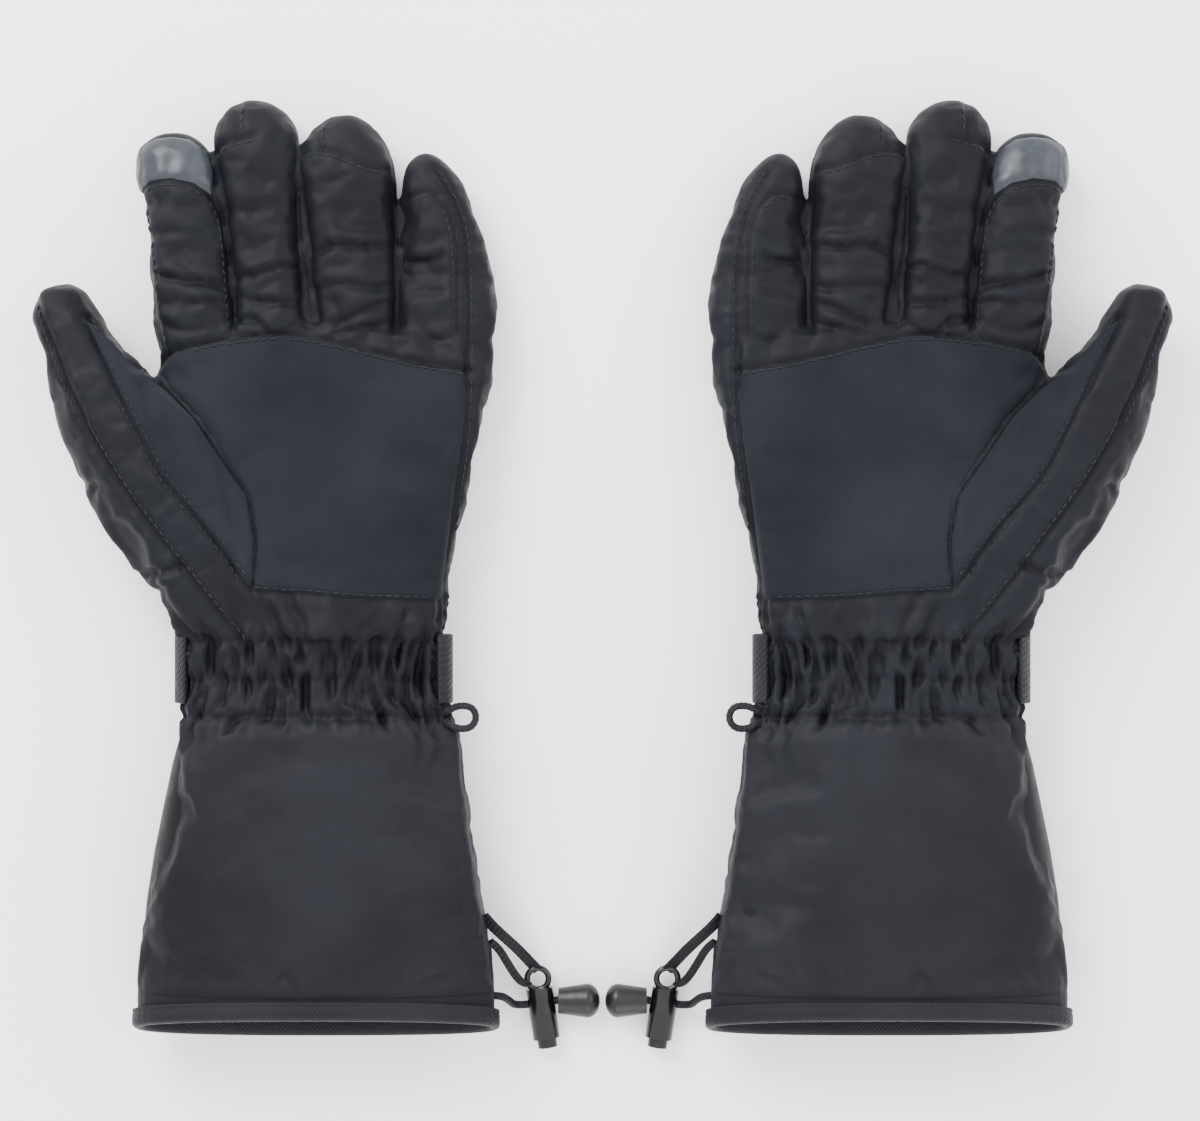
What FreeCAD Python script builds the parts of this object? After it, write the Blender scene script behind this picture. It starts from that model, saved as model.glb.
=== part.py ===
import FreeCAD, Part
import math
import os
import re
from FreeCAD import Placement, Vector

# A pair of insulated gauntlet gloves lying palm up, fingertips along +Y.
# The left glove is built at -X from a sheet of driving sizes, in millimetres, and the right glove
# is its mirror image in the YZ plane. The origin is under the middle of the pair, on the surface
# that both gloves lie on. Every limb is a run of oval sections in a frame of its own.

doc = FreeCAD.newDocument("InsulatedGloves")
sheet = doc.addObject("Spreadsheet::Sheet", "Sizes")

sizes = {
    # the whole glove
    "wrist_seam_y": -49.5,
    "palm_length": 126.5,
    "gauntlet_length": 109.4,
    "hem_to_middle": 35.9,
    # fabric layers
    "shell_wall": 1.4,
    "layer_gap": 0.2,
    "liner_wall": 3.0,
    "lining_wall": 2.2,
    "patch_wall": 0.9,
    "bending_gap": 0.6,
    # fingers
    "finger_thickness": 26.0,
    "fingertip_thickness": 25.0,
    "little_tip_thickness": 19.5,
    "finger_gap": 1.5,
    "finger_lift": 1.0,
    "hinge_depth": 9.0,
    "index_width": 27.5,
    "middle_width": 27.0,
    "ring_width": 28.5,
    "little_width": 32.0,
    "index_tip_width": 27.0,
    "middle_tip_width": 28.0,
    "ring_tip_width": 30.0,
    "little_tip_width": 20.0,
    "index_length": 76.6,
    "middle_length": 82.9,
    "ring_length": 78.0,
    "little_length": 71.0,
    "index_lean": 7.0,
    "middle_lean": 5.2,
    "ring_lean": 4.2,
    "little_lean": 6.5,
    "long_finger_step": 5.4,
    "tip_cap_length": 17.5,
    # thumb
    "thumb_length": 58.4,
    "thumb_depth": 30.0,
    "thumb_height": 34.0,
    "thumb_tip_depth": 16.0,
    "thumb_tip_height": 23.0,
    "thumb_lean": 19.6,
    "thumb_tilt": 2.0,
    "thumb_roll": 12.0,
    "thumb_root_back": 33.5,
    "thumb_root_z": 24.0,
    "thumb_root_out": 12.0,
    "thumb_clearance": 1.0,
    # palm and wrist
    "palm_height": 39.4,
    "knuckle_height": 29.6,
    "floor_dip": 0.6,
    "palm_centre_shift": 2.35,
    "wrist_width": 92.8,
    "gather_width": 90.2,
    "wrist_height": 31.0,
    "gather_height": 29.0,
    "wrist_centre_z": 24.0,
    "elastic_width": 19.0,
    "elastic_wall": 1.0,
    # gauntlet and hem
    "gauntlet_top_width": 99.4,
    "gauntlet_top_height": 35.0,
    "hem_width": 126.8,
    "hem_height": 42.4,
    "hem_centre_z": 20.7,
    "hem_tilt": 15.9,
    "binding_width": 6.0,
    "binding_stand": 0.8,
    "tunnel_width": 11.0,
    "tunnel_wall": 4.8,
    "channel_size": 4.0,
    "exit_play": 0.7,
    # strap
    "strap_width": 24.0,
    "strap_wall": 1.6,
    "strap_rise": 7.0,
    "strap_clearance": 0.5,
    "buckle_length": 30.0,
    "buckle_wall": 2.0,
    "buckle_slot": 6.5,
    "tab_length": 33.0,
    "tab_wall": 1.4,
    # drawcord, its lock and its end
    "cord_diameter": 2.8,
    "lock_length": 17.9,
    "lock_diameter": 9.5,
    "lock_wall": 1.2,
    "lock_tilt": 8.5,
    "lock_fit": 0.15,
    "eye_radius": 3.8,
    "eye_wire": 1.1,
    "button_stand": 3.2,
    "press_travel": 1.6,
    "spring_wire": 0.5,
    "spring_turns": 1.6,
    "cord_end_length": 14.8,
    "cord_end_mouth": 9.0,
    "cord_end_width": 12.0,
    # ribbon and hanging loop
    "ribbon_width": 5.0,
    "ribbon_wall": 0.8,
    "ribbon_length": 27.0,
    "ribbon_turn": 33.0,
    "ribbon_climb": 31.4,
    "loop_diameter": 2.4,
    "loop_radius": 3.8,
}

for row, (alias, value) in enumerate(sizes.items(), 1):
    sheet.set(f"A{row}", alias)
    sheet.set(f"B{row}", str(value))
    sheet.setAlias(f"B{row}", alias)
alias_words = re.compile(r"\b(" + "|".join(sizes) + r")\b")


def linked(formula):
    """Writes the sheet's name in front of each size that a formula names."""
    return alias_words.sub(r"Sizes.\1", str(formula))


def bind(item, **formulas):
    """Ties properties of an object to formulas over the sheet's sizes."""
    for name, formula in formulas.items():
        item.setExpression(name, linked(formula))
    return item


def place(item, frame, x=0, y=0, z=0, axis=(1, 0, 0), angle=0):
    """Puts an object at x, y, z of a frame, turned about an axis of that frame."""
    turn = "vector({}; {}; {})".format(*axis)
    spot = f"placement(vector({x}; {y}; {z}); rotation({turn}; {angle}))"
    return bind(item, Placement=f"{frame}.Placement * {spot}")


def add(kind, name, **formulas):
    return bind(doc.addObject(kind, name), **formulas)


def box(name, frame, x, y, z, length, width, height):
    """A box from its lowest corner in a frame."""
    return place(add("Part::Box", name, Length=length, Width=width, Height=height), frame, x, y, z)


def cylinder(name, frame, radius, height, x=0, y=0, z=0, axis=(1, 0, 0), angle=0):
    return place(add("Part::Cylinder", name, Radius=radius, Height=height), frame, x, y, z, axis, angle)


def cut(name, base, tool):
    result = doc.addObject("Part::Cut", name)
    result.Base, result.Tool = base, tool
    return result


def common(name, base, tool):
    result = doc.addObject("Part::Common", name)
    result.Base, result.Tool = base, tool
    return result


def fuse(name, *items):
    result = doc.addObject("Part::MultiFuse", name)
    result.Shapes = list(items)
    return result


def frame(name, x, y, z, turns=()):
    """A named frame: a place, then turns about X, Y or Z, each a pair of axis and angle."""
    formula = f"placement(vector({x}; {y}; {z}); rotation(vector(0; 0; 1); 0))"
    for axis, angle in turns:
        formula += " * placement(vector(0; 0; 0); rotation(vector({}; {}; {}); {}))".format(*axis, angle)
    bind(doc.addObject("App::Placement", name), Placement=formula)
    return name


x_axis, y_axis, z_axis = (1, 0, 0), (0, 1, 0), (0, 0, 1)
world = frame("World", 0, 0, 0)


# Oval tubes

def tube(name, place_in, stations, inset="0", upright=False):
    """A solid through oval sections, each one drawn in from the station's size by the inset.

    An oval is at least as wide as it is high, or, where upright, at least as high as it is wide."""
    ovals = []
    for y, x, z, half_width, half_height in stations:
        across, up = f"{half_width} - ({inset})", f"{half_height} - ({inset})"
        longer, shorter = (up, across) if upright else (across, up)
        oval = add("Part::Ellipse", name + "_oval", MajorRadius=longer, MinorRadius=shorter)
        place(oval, place_in, x, y, z, x_axis, 90)
        if upright:
            turned = dict(oval.ExpressionEngine)["Placement"]
            quarter = " * placement(vector(0; 0; 0); rotation(vector(0; 0; 1); 90))"
            oval.setExpression("Placement", turned + quarter)
        ovals.append(oval)
    loft = doc.addObject("Part::Loft", name)
    loft.Sections = ovals
    loft.Solid = True
    loft.Ruled = True
    return loft


def overrun(stations):
    """The same stations carried a little past both open ends, for hollowing right through."""
    first, last = stations[0], stations[-1]
    return [(f"({first[0]}) - 3", *first[1:]), *stations, (f"({last[0]}) + 3", *last[1:])]


def band(name, place_in, stations, outer, inner):
    """The open layer between two insets of one tube."""
    return cut(name, tube(name + "_out", place_in, stations, outer),
               tube(name + "_in", place_in, overrun(stations), inner))


dome = [(0, 1), (0.4, 0.92), (0.75, 0.66), (0.94, 0.34), (1, 0.14)]


def fingertip(name, place_in, root, tip, length, inset, start):
    """A tube from an open root to a domed tip. Root and tip are x, z, half width, half height."""
    x, z, half_width, half_height = root
    section = (x, z, f"{half_width} - ({inset})", f"{half_height} - ({inset})")
    stations = [(start, *section)]
    if start.startswith("-"):  # straight as far as the knuckle, so that layers taper together
        stations.append(("0", *section))
    depth = f"({tip[2]} - ({inset}))"
    for along, share in dome:
        y = f"{length} - ({inset}) - {depth} * {1 - along}"
        stations.append((y, tip[0], tip[1], f"({tip[2]} - ({inset})) * {share}",
                         f"({tip[3]} - ({inset})) * {share}"))
    return tube(name, place_in, stations)


# Layers, counted inwards from the outside of the shell
shell_in = "shell_wall"
liner_out = "(shell_wall + layer_gap)"
liner_in = "(shell_wall + layer_gap + liner_wall)"
lining_in = "(shell_wall + layer_gap + lining_wall)"
patch_in = "(0 - layer_gap / 2)"
patch_out = "(0 - layer_gap / 2 - patch_wall)"

# Places that several pieces share
hem_centre_x = "(0 - hem_to_middle - hem_width / 2 - binding_stand)"
palm_centre_x = f"({hem_centre_x} + palm_centre_shift)"
knuckle_half = "((index_width + middle_width + ring_width + little_width + 3 * finger_gap) / 2)"
knuckle_y = "(wrist_seam_y + palm_length)"
hinge_z = "(finger_lift + finger_thickness - hinge_depth)"
hem_y = "(wrist_seam_y - gauntlet_length)"
floor_tool = box("FloorTool", world, -400, -300, -20, 800, 600, 20)

# Fingers: each has a frame at its knuckle, with y along the finger and z towards the palm

fingers = ["index", "middle", "ring", "little"]
long_fingers = ["middle", "ring"]
nodes = {}
knuckle_tools = []
across = f"{palm_centre_x} - {knuckle_half}"
for finger in fingers:
    step = "long_finger_step" if finger in long_fingers else "0"
    centre_x = f"{across} + {finger}_width / 2"
    across = f"{across} + {finger}_width + finger_gap"
    knuckle = frame(f"{finger.capitalize()}Knuckle", centre_x, f"{knuckle_y} + {step}", hinge_z,
                    [(z_axis, f"{finger}_lean")])
    middle_z = "hinge_depth - finger_thickness / 2"
    root = ("0", middle_z, f"{finger}_width / 2", "finger_thickness / 2")
    tip_height = "little_tip_thickness / 2" if finger == "little" else "fingertip_thickness / 2"
    tip = ("0", middle_z, f"{finger}_tip_width / 2", tip_height)

    def layer(name, inset, start="0"):
        return fingertip(name, knuckle, root, tip, f"{finger}_length", inset, start)

    nodes[f"{finger}_shell"] = cut(f"{finger}_shell", layer(f"{finger}_skin", "0"),
                                   layer(f"{finger}_hollow", shell_in, "-3"))
    nodes[f"{finger}_liner"] = cut(f"{finger}_liner", layer(f"{finger}_pad", liner_out),
                                   layer(f"{finger}_cavity", liner_in, "-3"))
    reach = f"{finger}_width + 6"
    side = f"0 - {finger}_width / 2 - 3"
    knuckle_tools.append(box(f"{finger}_gap_tool", knuckle, side, "0 - bending_gap", -60, reach, 60, 120))
    knuckle_tools.append(box(f"{finger}_fold_tool", knuckle, side, "0 - hinge_depth - bending_gap - 0.2",
                             0, reach, 60, 60))
    if finger == "index":
        cap_band = cut("index_cap_band", layer("index_cap_out", patch_out, "10"),
                       layer("index_cap_in", patch_in, "5"))
        cap_zone = box("index_cap_zone", knuckle, -40, "index_length - tip_cap_length", -60, 80, 60, 120)
        nodes["index_tip_cap"] = common("index_tip_cap", cap_band, cap_zone)

# Thumb: a frame on the thumb's root with y along the thumb, and a hinge frame rolled across the palm

thumb_root_x = f"({palm_centre_x} - {knuckle_half} - thumb_root_out - (thumb_depth - 30) / 2)"
thumb_root = frame("ThumbRoot", thumb_root_x, f"{knuckle_y} - thumb_root_back", "thumb_root_z",
                   [(z_axis, "thumb_lean"), (x_axis, "thumb_tilt")])
thumb_reach = ("(sqrt(pow(thumb_depth / 2 * sin(thumb_roll); 2)"
               " + pow(thumb_height / 2 * cos(thumb_roll); 2)) - hinge_depth)")
thumb_hinge = "ThumbHinge"
bind(doc.addObject("App::Placement", thumb_hinge),
     Placement="ThumbRoot.Placement * placement(vector(0; 0; 0); rotation(vector(0; 1; 0); thumb_roll))"
               f" * placement(vector(0; 0; {thumb_reach}); rotation(vector(1; 0; 0); 0))")


def thumb_layer(name, inset, start="0"):
    """The thumb is deep at its root and squared at its tip."""
    stations = [
        (start, "0", "0", "thumb_depth / 2", "thumb_height / 2"),
        ("thumb_length * 0.45", "0", "0", "thumb_depth / 2", "thumb_height / 2 - 0.6"),
        ("thumb_length * 0.7", "0", "0.5", "(thumb_depth + thumb_tip_depth) / 3.9",
         "(thumb_height + thumb_tip_height) / 3.95"),
        ("thumb_length * 0.93", "0", "1", "thumb_tip_depth / 2", "thumb_tip_height / 2"),
    ]
    stations = [(y, x, z, f"{a} - ({inset})", f"{b} - ({inset})") for y, x, z, a, b in stations]
    last = stations[-1]
    stations[-1] = (f"thumb_length * 0.93 - ({inset})", *last[1:])
    stations.append((f"thumb_length - ({inset})", "0", "1", f"({last[3]}) * 0.7", f"({last[4]}) * 0.7"))
    return tube(name, thumb_root, stations, upright=True)


nodes["thumb_shell"] = cut("thumb_shell", thumb_layer("thumb_skin", "0"),
                           thumb_layer("thumb_hollow", shell_in, "-3"))
nodes["thumb_liner"] = cut("thumb_liner", thumb_layer("thumb_pad", liner_out),
                           thumb_layer("thumb_cavity", liner_in, "-3"))

# Hand: one tube from the gathered wrist to the knuckles, wide at the ball of the thumb

palm_z = "(palm_height / 2 - floor_dip)"
knuckle_z = "(knuckle_height / 2 - floor_dip / 2)"
hand_stations = [
    ("wrist_seam_y", f"{palm_centre_x} - 2.85", "wrist_centre_z", "wrist_width / 2", "wrist_height / 2"),
    ("wrist_seam_y + 16.5", f"{palm_centre_x} - 3.2", "wrist_centre_z", "gather_width / 2",
     "gather_height / 2"),
    ("wrist_seam_y + 29.5", f"{palm_centre_x} - 2.6", "wrist_centre_z", "wrist_width / 2",
     "wrist_height / 2"),
    (f"{knuckle_y} - 77", f"{palm_centre_x} - 10", palm_z, f"{knuckle_half} - 4.2", "palm_height / 2"),
    (f"{knuckle_y} - 64", f"{palm_centre_x} - 13", palm_z, f"{knuckle_half} + 1.4", "palm_height / 2"),
    (f"{knuckle_y} - 47", f"{palm_centre_x} - 12", palm_z, f"{knuckle_half} + 6.6", "palm_height / 2"),
    (f"{knuckle_y} - 33", f"{palm_centre_x} - 4.2", palm_z, f"{knuckle_half} + 1.5",
     "palm_height / 2"),
    (f"{knuckle_y} - 17", f"{palm_centre_x} - 1", f"{knuckle_z} + 3", f"{knuckle_half} - 1.2",
     "knuckle_height / 2 + 3.6"),
    (f"{knuckle_y} + 11", palm_centre_x, knuckle_z, knuckle_half, "knuckle_height / 2"),
]


def hand_form(name, inset, hollowing=False):
    """The outside of the hand at an inset."""
    return tube(name, world, overrun(hand_stations) if hollowing else hand_stations, inset)


def thumb_passage(name, inset):
    """The way from the hand into the thumb."""
    stations = [(y, "0", "0", f"thumb_depth / 2 - ({inset})", f"thumb_height / 2 - ({inset})")
                for y in ("-24", "3")]
    return tube(name, thumb_root, stations, upright=True)


thumb_side = "0 - thumb_depth / 2 - thumb_clearance"
thumb_tools = [
    box("thumb_gap_tool", thumb_root, thumb_side, "0 - bending_gap", -60,
        "thumb_depth + 2 * thumb_clearance", 60, 120),
    box("thumb_fold_tool", thumb_hinge, thumb_side, "0 - hinge_depth - bending_gap - 0.2", 0,
        "thumb_depth + 2 * thumb_clearance", 60, 60),
]
knuckle_tool = fuse("KnuckleTool", floor_tool, *knuckle_tools, *thumb_tools)
wrist_zone = box("WristZone", world, -300, "wrist_seam_y + 16.5 - elastic_width / 2", -20,
                 300, "elastic_width", 100)
wrist_room = box("WristRoom", world, -300, "wrist_seam_y + 16.5 - elastic_width / 2 - layer_gap", -20,
                 300, "elastic_width + 2 * layer_gap", 100)
wrist_stations = hand_stations[:3]
elastic_in = "(shell_wall + layer_gap + elastic_wall)"
elastic_groove = common("elastic_groove",
                        band("elastic_room", world, wrist_stations, "0", elastic_in + " + layer_gap"),
                        wrist_room)
nodes["wrist_elastic"] = common("wrist_elastic",
                                band("elastic_band", world, wrist_stations, liner_out, elastic_in),
                                wrist_zone)
hand_wall = cut("hand_wall", cut("hand_tube", hand_form("hand_skin", "0"),
                                 hand_form("hand_hollow", shell_in, True)),
                thumb_passage("thumb_hole", shell_in))
nodes["hand_shell"] = cut("hand_shell", hand_wall, knuckle_tool)
hand_pad = cut("hand_pad", cut("hand_pad_tube", hand_form("hand_pad_out", liner_out),
                               hand_form("hand_cavity", liner_in, True)),
               thumb_passage("thumb_pad_hole", liner_in))
nodes["hand_liner"] = cut("hand_liner", cut("hand_pad_trimmed", hand_pad, knuckle_tool), elastic_groove)

# Patches: skins on the palm and on the ball of the thumb
hand_skin = cut("patch_skin", hand_form("patch_outside", patch_out),
                hand_form("patch_inside", patch_in, True))
thumb_zone = box("ThumbPatchZone", thumb_root, -8, -52, 6, 30, 40, 60)
thumb_room = box("ThumbPatchRoom", thumb_root, -45, -70, -60, 67.5, 90, 120)
palm_zone = box("PalmPatchZone", world, f"{palm_centre_x} - {knuckle_half} + 4", f"{knuckle_y} - 86",
                f"{palm_z} + 8", f"2 * {knuckle_half} - 14", 76, 60)
nodes["thumb_patch"] = common("thumb_patch", hand_skin, thumb_zone)
nodes["palm_patch"] = cut("palm_patch", cut("palm_patch_piece", common("palm_patch_zone", hand_skin, palm_zone),
                                            thumb_room), fuse("PatchTool", *knuckle_tools))

# Gauntlet: a flared tube, cut off at a slant at the hem so that the back is longer than the palm side

gauntlet_stations = [
    ("wrist_seam_y - layer_gap", f"{palm_centre_x} - 1.15", "wrist_centre_z - 1", "gauntlet_top_width / 2",
     "gauntlet_top_height / 2"),
    (f"{hem_y} + 82.5", f"{palm_centre_x} - 2.9", "hem_centre_z + 1.4", "hem_width / 2 - 9.2",
     "hem_height / 2 - 1.5"),
    (f"{hem_y} + 44.5", f"{palm_centre_x} - 4.3", "hem_centre_z", "hem_width / 2 - 3.5",
     "hem_height / 2"),
    (f"{hem_y} + 9.6", hem_centre_x, "hem_centre_z", "hem_width / 2", "hem_height / 2"),
    (f"{hem_y} - 16", hem_centre_x, "hem_centre_z", "hem_width / 2", "hem_height / 2"),
]
gauntlet_stations = gauntlet_stations[::-1]
hem_frame = frame("HemFrame", hem_centre_x, hem_y, "hem_centre_z", [(x_axis, "0 - hem_tilt")])
binding_zone = box("BindingZone", hem_frame, -150, 0, -60, 300, "binding_width", 120)
tunnel_zone = box("TunnelZone", hem_frame, -150, "binding_width + layer_gap", -60, 300, "tunnel_width", 120)
shell_tool = fuse("GauntletTool", floor_tool,
                  box("HemTool", hem_frame, -150, "binding_width + layer_gap - 60", -60, 300, 60, 120))
lining_tool = box("LiningTool", hem_frame, -150, "binding_width + tunnel_width + 2 * layer_gap - 70", -60,
                  300, 70, 120)
channel_y = "(binding_width + layer_gap + tunnel_width / 2)"
exit_z = -2.0
exit_hole = cylinder("exit_hole", hem_frame, "cord_diameter / 2 + exit_play", 24,
                     "hem_width / 2 - 14", channel_y, exit_z, y_axis, 90)
channel_zone = box("ChannelZone", hem_frame, -150, f"{channel_y} - channel_size / 2", -60, 300,
                   "channel_size", 120)
tunnel_out = liner_out
tunnel_in = "(shell_wall + layer_gap + tunnel_wall)"
channel_out = "(shell_wall + layer_gap + tunnel_wall / 2 - channel_size / 2)"
channel_in = "(shell_wall + layer_gap + tunnel_wall / 2 + channel_size / 2)"
channel = common("channel", band("channel_band", world, gauntlet_stations, channel_out, channel_in),
                 channel_zone)
nodes["gauntlet_shell"] = cut("gauntlet_shell",
                              band("gauntlet_wall", world, gauntlet_stations, "0", shell_in),
                              fuse("GauntletTools", shell_tool, exit_hole))
nodes["gauntlet_lining"] = cut("gauntlet_lining",
                               band("lining_wall_band", world, gauntlet_stations, liner_out, lining_in),
                               lining_tool)
tunnel_with_channel = cut("tunnel_with_channel",
                          common("tunnel_ring",
                                 band("tunnel_band", world, gauntlet_stations, tunnel_out, tunnel_in),
                                 tunnel_zone),
                          channel)
nodes["hem_tunnel"] = cut("hem_tunnel", tunnel_with_channel, exit_hole)
nodes["hem_binding"] = cut("hem_binding",
                           common("binding_ring",
                                  band("binding_band", world, gauntlet_stations,
                                       "(0 - binding_stand)", lining_in),
                                  binding_zone),
                           floor_tool)

# Wrist strap round the back of the wrist, its buckle, and the pull tab that lies under it

strap_middle_y = "(wrist_seam_y + 16.5)"
strap_centre_x = f"({palm_centre_x} - 2.9)"
strap_low_z = "(wrist_centre_z - wrist_height / 2 - strap_clearance - strap_wall)"
strap_end = f"{strap_middle_y} + strap_width / 2"


def strap_prism(name, grow, over):
    """An oval prism round the wrist, as wide as the strap."""
    spot = (strap_end + f" + {over}", strap_centre_x, "wrist_centre_z",
            f"wrist_width / 2 + {grow}", f"wrist_height / 2 + {grow}")
    far = (f"{strap_middle_y} - strap_width / 2 - {over}", *spot[1:])
    return tube(name, world, [far, spot])


strap_zone = box("StrapZone", world, -300, f"{strap_middle_y} - 40", -20, 300, 80,
                 "20 + wrist_centre_z + strap_rise")
nodes["wrist_strap"] = common("wrist_strap",
                              cut("strap_ring", strap_prism("strap_out", "strap_clearance + strap_wall", 0),
                                  strap_prism("strap_in", "strap_clearance", 3)), strap_zone)
buckle_x = f"({strap_centre_x} - 26)"
buckle_z = f"({strap_low_z} - buckle_wall - 2 * layer_gap)"
buckle_half = "(strap_width / 2 + 2)"
buckle_plate = box("buckle_plate", world, buckle_x, f"{strap_middle_y} - {buckle_half}", buckle_z,
                   "buckle_length", f"2 * {buckle_half}", "buckle_wall")
slots = [box(f"buckle_slot_{end}", world, f"{buckle_x} + {x}", f"{strap_middle_y} - strap_width / 2",
             f"{buckle_z} - 1", "buckle_slot", "strap_width", "buckle_wall + 2")
         for end, x in (("near", "4"), ("far", "buckle_length - buckle_slot - 4"))]
nodes["strap_buckle"] = cut("strap_buckle", buckle_plate, fuse("BuckleSlots", *slots))
tab_x = f"({buckle_x} + buckle_length + 1)"
tab_z = f"({buckle_z} + buckle_wall / 2 - tab_wall / 2)"
tab_plate = box("tab_plate", world, tab_x, f"{strap_middle_y} - strap_width / 2 + 2", tab_z,
                "tab_length - strap_width / 2 + 2", "strap_width - 4", "tab_wall")
tab_round = cylinder("tab_round", world, "strap_width / 2 - 2", "tab_wall",
                     f"{tab_x} + tab_length - strap_width / 2 + 2", strap_middle_y, tab_z)
nodes["strap_tab"] = fuse("strap_tab", tab_plate, tab_round)

# Cord lock: a barrel with an eye, a plunger pressed along the barrel, and the spring behind it.
# Its frame is at the eye, with z along the barrel and y up.

lock_z = "(lock_diameter / 2)"
lock_x = f"({hem_centre_x} + hem_width / 2 + 13.7)"
lock_y = f"({hem_y} + 14.9)"
lock_frame = frame("LockFrame", lock_x, lock_y, lock_z, [(z_axis, "lock_tilt"), (x_axis, 90)])
barrel_start = "(eye_radius - 0.4)"
barrel_end = f"({barrel_start} + lock_length)"
bore_radius = "(lock_diameter / 2 - lock_wall)"
bore_start = f"({barrel_start} + lock_wall - 0.3)"
plunger_start = f"({bore_start} + press_travel + 0.4)"
cord_hole_z = f"({plunger_start} + 0.8 + cord_diameter / 2 + 0.1)"
eye = place(add("Part::Torus", "eye", Radius1="eye_radius", Radius2="eye_wire"), lock_frame,
            axis=x_axis, angle=90)
barrel = cylinder("barrel", lock_frame, lock_z, "lock_length", z=barrel_start)
bore = cylinder("bore", lock_frame, bore_radius, "lock_length + 5", z=bore_start)
cord_hole = cylinder("cord_hole", lock_frame, "cord_diameter / 2 + 2 * lock_fit", "lock_diameter + 4",
                     "0 - lock_diameter / 2 - 2", 0, cord_hole_z, y_axis, 90)
nodes["lock_body"] = cut("lock_body", fuse("lock_outside", eye, barrel), fuse("LockTools", bore, cord_hole))
plunger_rod = cylinder("plunger_rod", lock_frame, f"{bore_radius} - lock_fit",
                       f"{barrel_end} + button_stand - {plunger_start}", z=plunger_start)
plunger_slot = box("plunger_slot", lock_frame, -6, "0 - cord_diameter / 2 - 2 * lock_fit",
                   f"{plunger_start} + 0.8", 12, "cord_diameter + 4 * lock_fit",
                   "cord_diameter + press_travel + 0.4")
nodes["lock_plunger"] = cut("lock_plunger", plunger_rod, plunger_slot)

# Bell-shaped cord end, with z along its length
end_frame = frame("CordEndFrame", f"{lock_x} + 7.3", f"{lock_y} - 7.6", "cord_end_width / 2 + 0.1",
                  [(y_axis, 90)])
bell = place(add("Part::Cone", "bell", Radius1="cord_end_mouth / 2", Radius2="cord_end_width / 2",
                 Height="cord_end_length * 0.7"), end_frame)
bell_cap = place(add("Part::Ellipsoid", "bell_cap", Radius1="cord_end_length * 0.3",
                     Radius2="cord_end_width / 2", Radius3="cord_end_width / 2"),
                 end_frame, z="cord_end_length * 0.7")
bell_cap.Angle1 = -90
bell_mouth = place(add("Part::Cone", "bell_mouth", Radius1="cord_end_mouth / 2 - 0.8",
                       Radius2="cord_end_mouth / 2 - 1.8", Height="7"), end_frame, z=-1)
nodes["cord_end"] = cut("cord_end", fuse("bell_outside", bell, bell_cap), bell_mouth)

# Anchor ribbon: folded through the eye, both ends sewn into the side seam

ribbon_frame = frame("RibbonFrame",
                     f"{lock_x} - eye_radius * sin(ribbon_turn)",
                     f"{lock_y} + eye_radius * cos(ribbon_turn)", lock_z,
                     [(z_axis, "ribbon_turn"), (x_axis, "ribbon_climb")])
fold_radius = "(eye_wire + 0.25)"
fold_ring = cut("fold_ring",
                cylinder("fold_out", ribbon_frame, f"{fold_radius} + ribbon_wall", 2.0, -1, 0, 0, y_axis, 90),
                cylinder("fold_in", ribbon_frame, fold_radius, 4.0, -2, 0, 0, y_axis, 90))
fold_half = common("fold_half", fold_ring, box("fold_zone", ribbon_frame, -5, -5, -5, 10, 5, 10))
legs = []
for side, z in (("top", fold_radius), ("under", f"0 - {fold_radius} - ribbon_wall")):
    legs.append(box(f"ribbon_neck_{side}", ribbon_frame, -1, 0, z, 2, 3, "ribbon_wall"))
    legs.append(box(f"ribbon_leg_{side}", ribbon_frame, "0 - ribbon_width / 2", 2.6, z, "ribbon_width",
                    "ribbon_length - 2.6", "ribbon_wall"))
nodes["anchor_ribbon"] = fuse("anchor_ribbon", fold_half, *legs)

doc.recompute()


# Cords: straight runs joined by tangent arcs

def size(alias):
    return float(sheet.get(alias))


def rounded_path(points):
    """One wire through the points, each corner an arc as large as its two runs allow."""
    edges = []
    start = points[0]
    radii = []
    for before, corner, after in zip(points, points[1:], points[2:]):
        back = (before - corner).normalize()
        on = (after - corner).normalize()
        half_turn = (math.pi - back.getAngle(on)) / 2
        setback = 0.45 * min((before - corner).Length, (after - corner).Length)
        radius = setback / math.tan(half_turn)
        radii.append(radius)
        first, last = corner + back * setback, corner + on * setback
        inward = (back + on).normalize()
        crown = corner + inward * (radius / math.cos(half_turn) - radius)
        edges.append(Part.LineSegment(start, first).toShape())
        edges.append(Part.Arc(first, crown, last).toShape())
        start = last
    edges.append(Part.LineSegment(start, points[-1]).toShape())
    return Part.Wire(edges), radii


def cord(name, points, diameter):
    """A round cord along the points."""
    path, radii = rounded_path(points)
    ring = Part.Wire(Part.Circle(points[0], points[1] - points[0], diameter / 2).toShape())
    item = doc.addObject("Part::Feature", name)
    item.Shape = path.makePipeShell([ring], True, True)
    item.Placement = Placement()
    ideal = math.pi * diameter ** 2 / 4 * path.Length
    print(f"{name}: length {path.Length:.1f}, volume over section times length",
          f"{item.Shape.Volume / ideal:.4f}, radii", " ".join(f"{radius:.1f}" for radius in radii))
    return item


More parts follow.
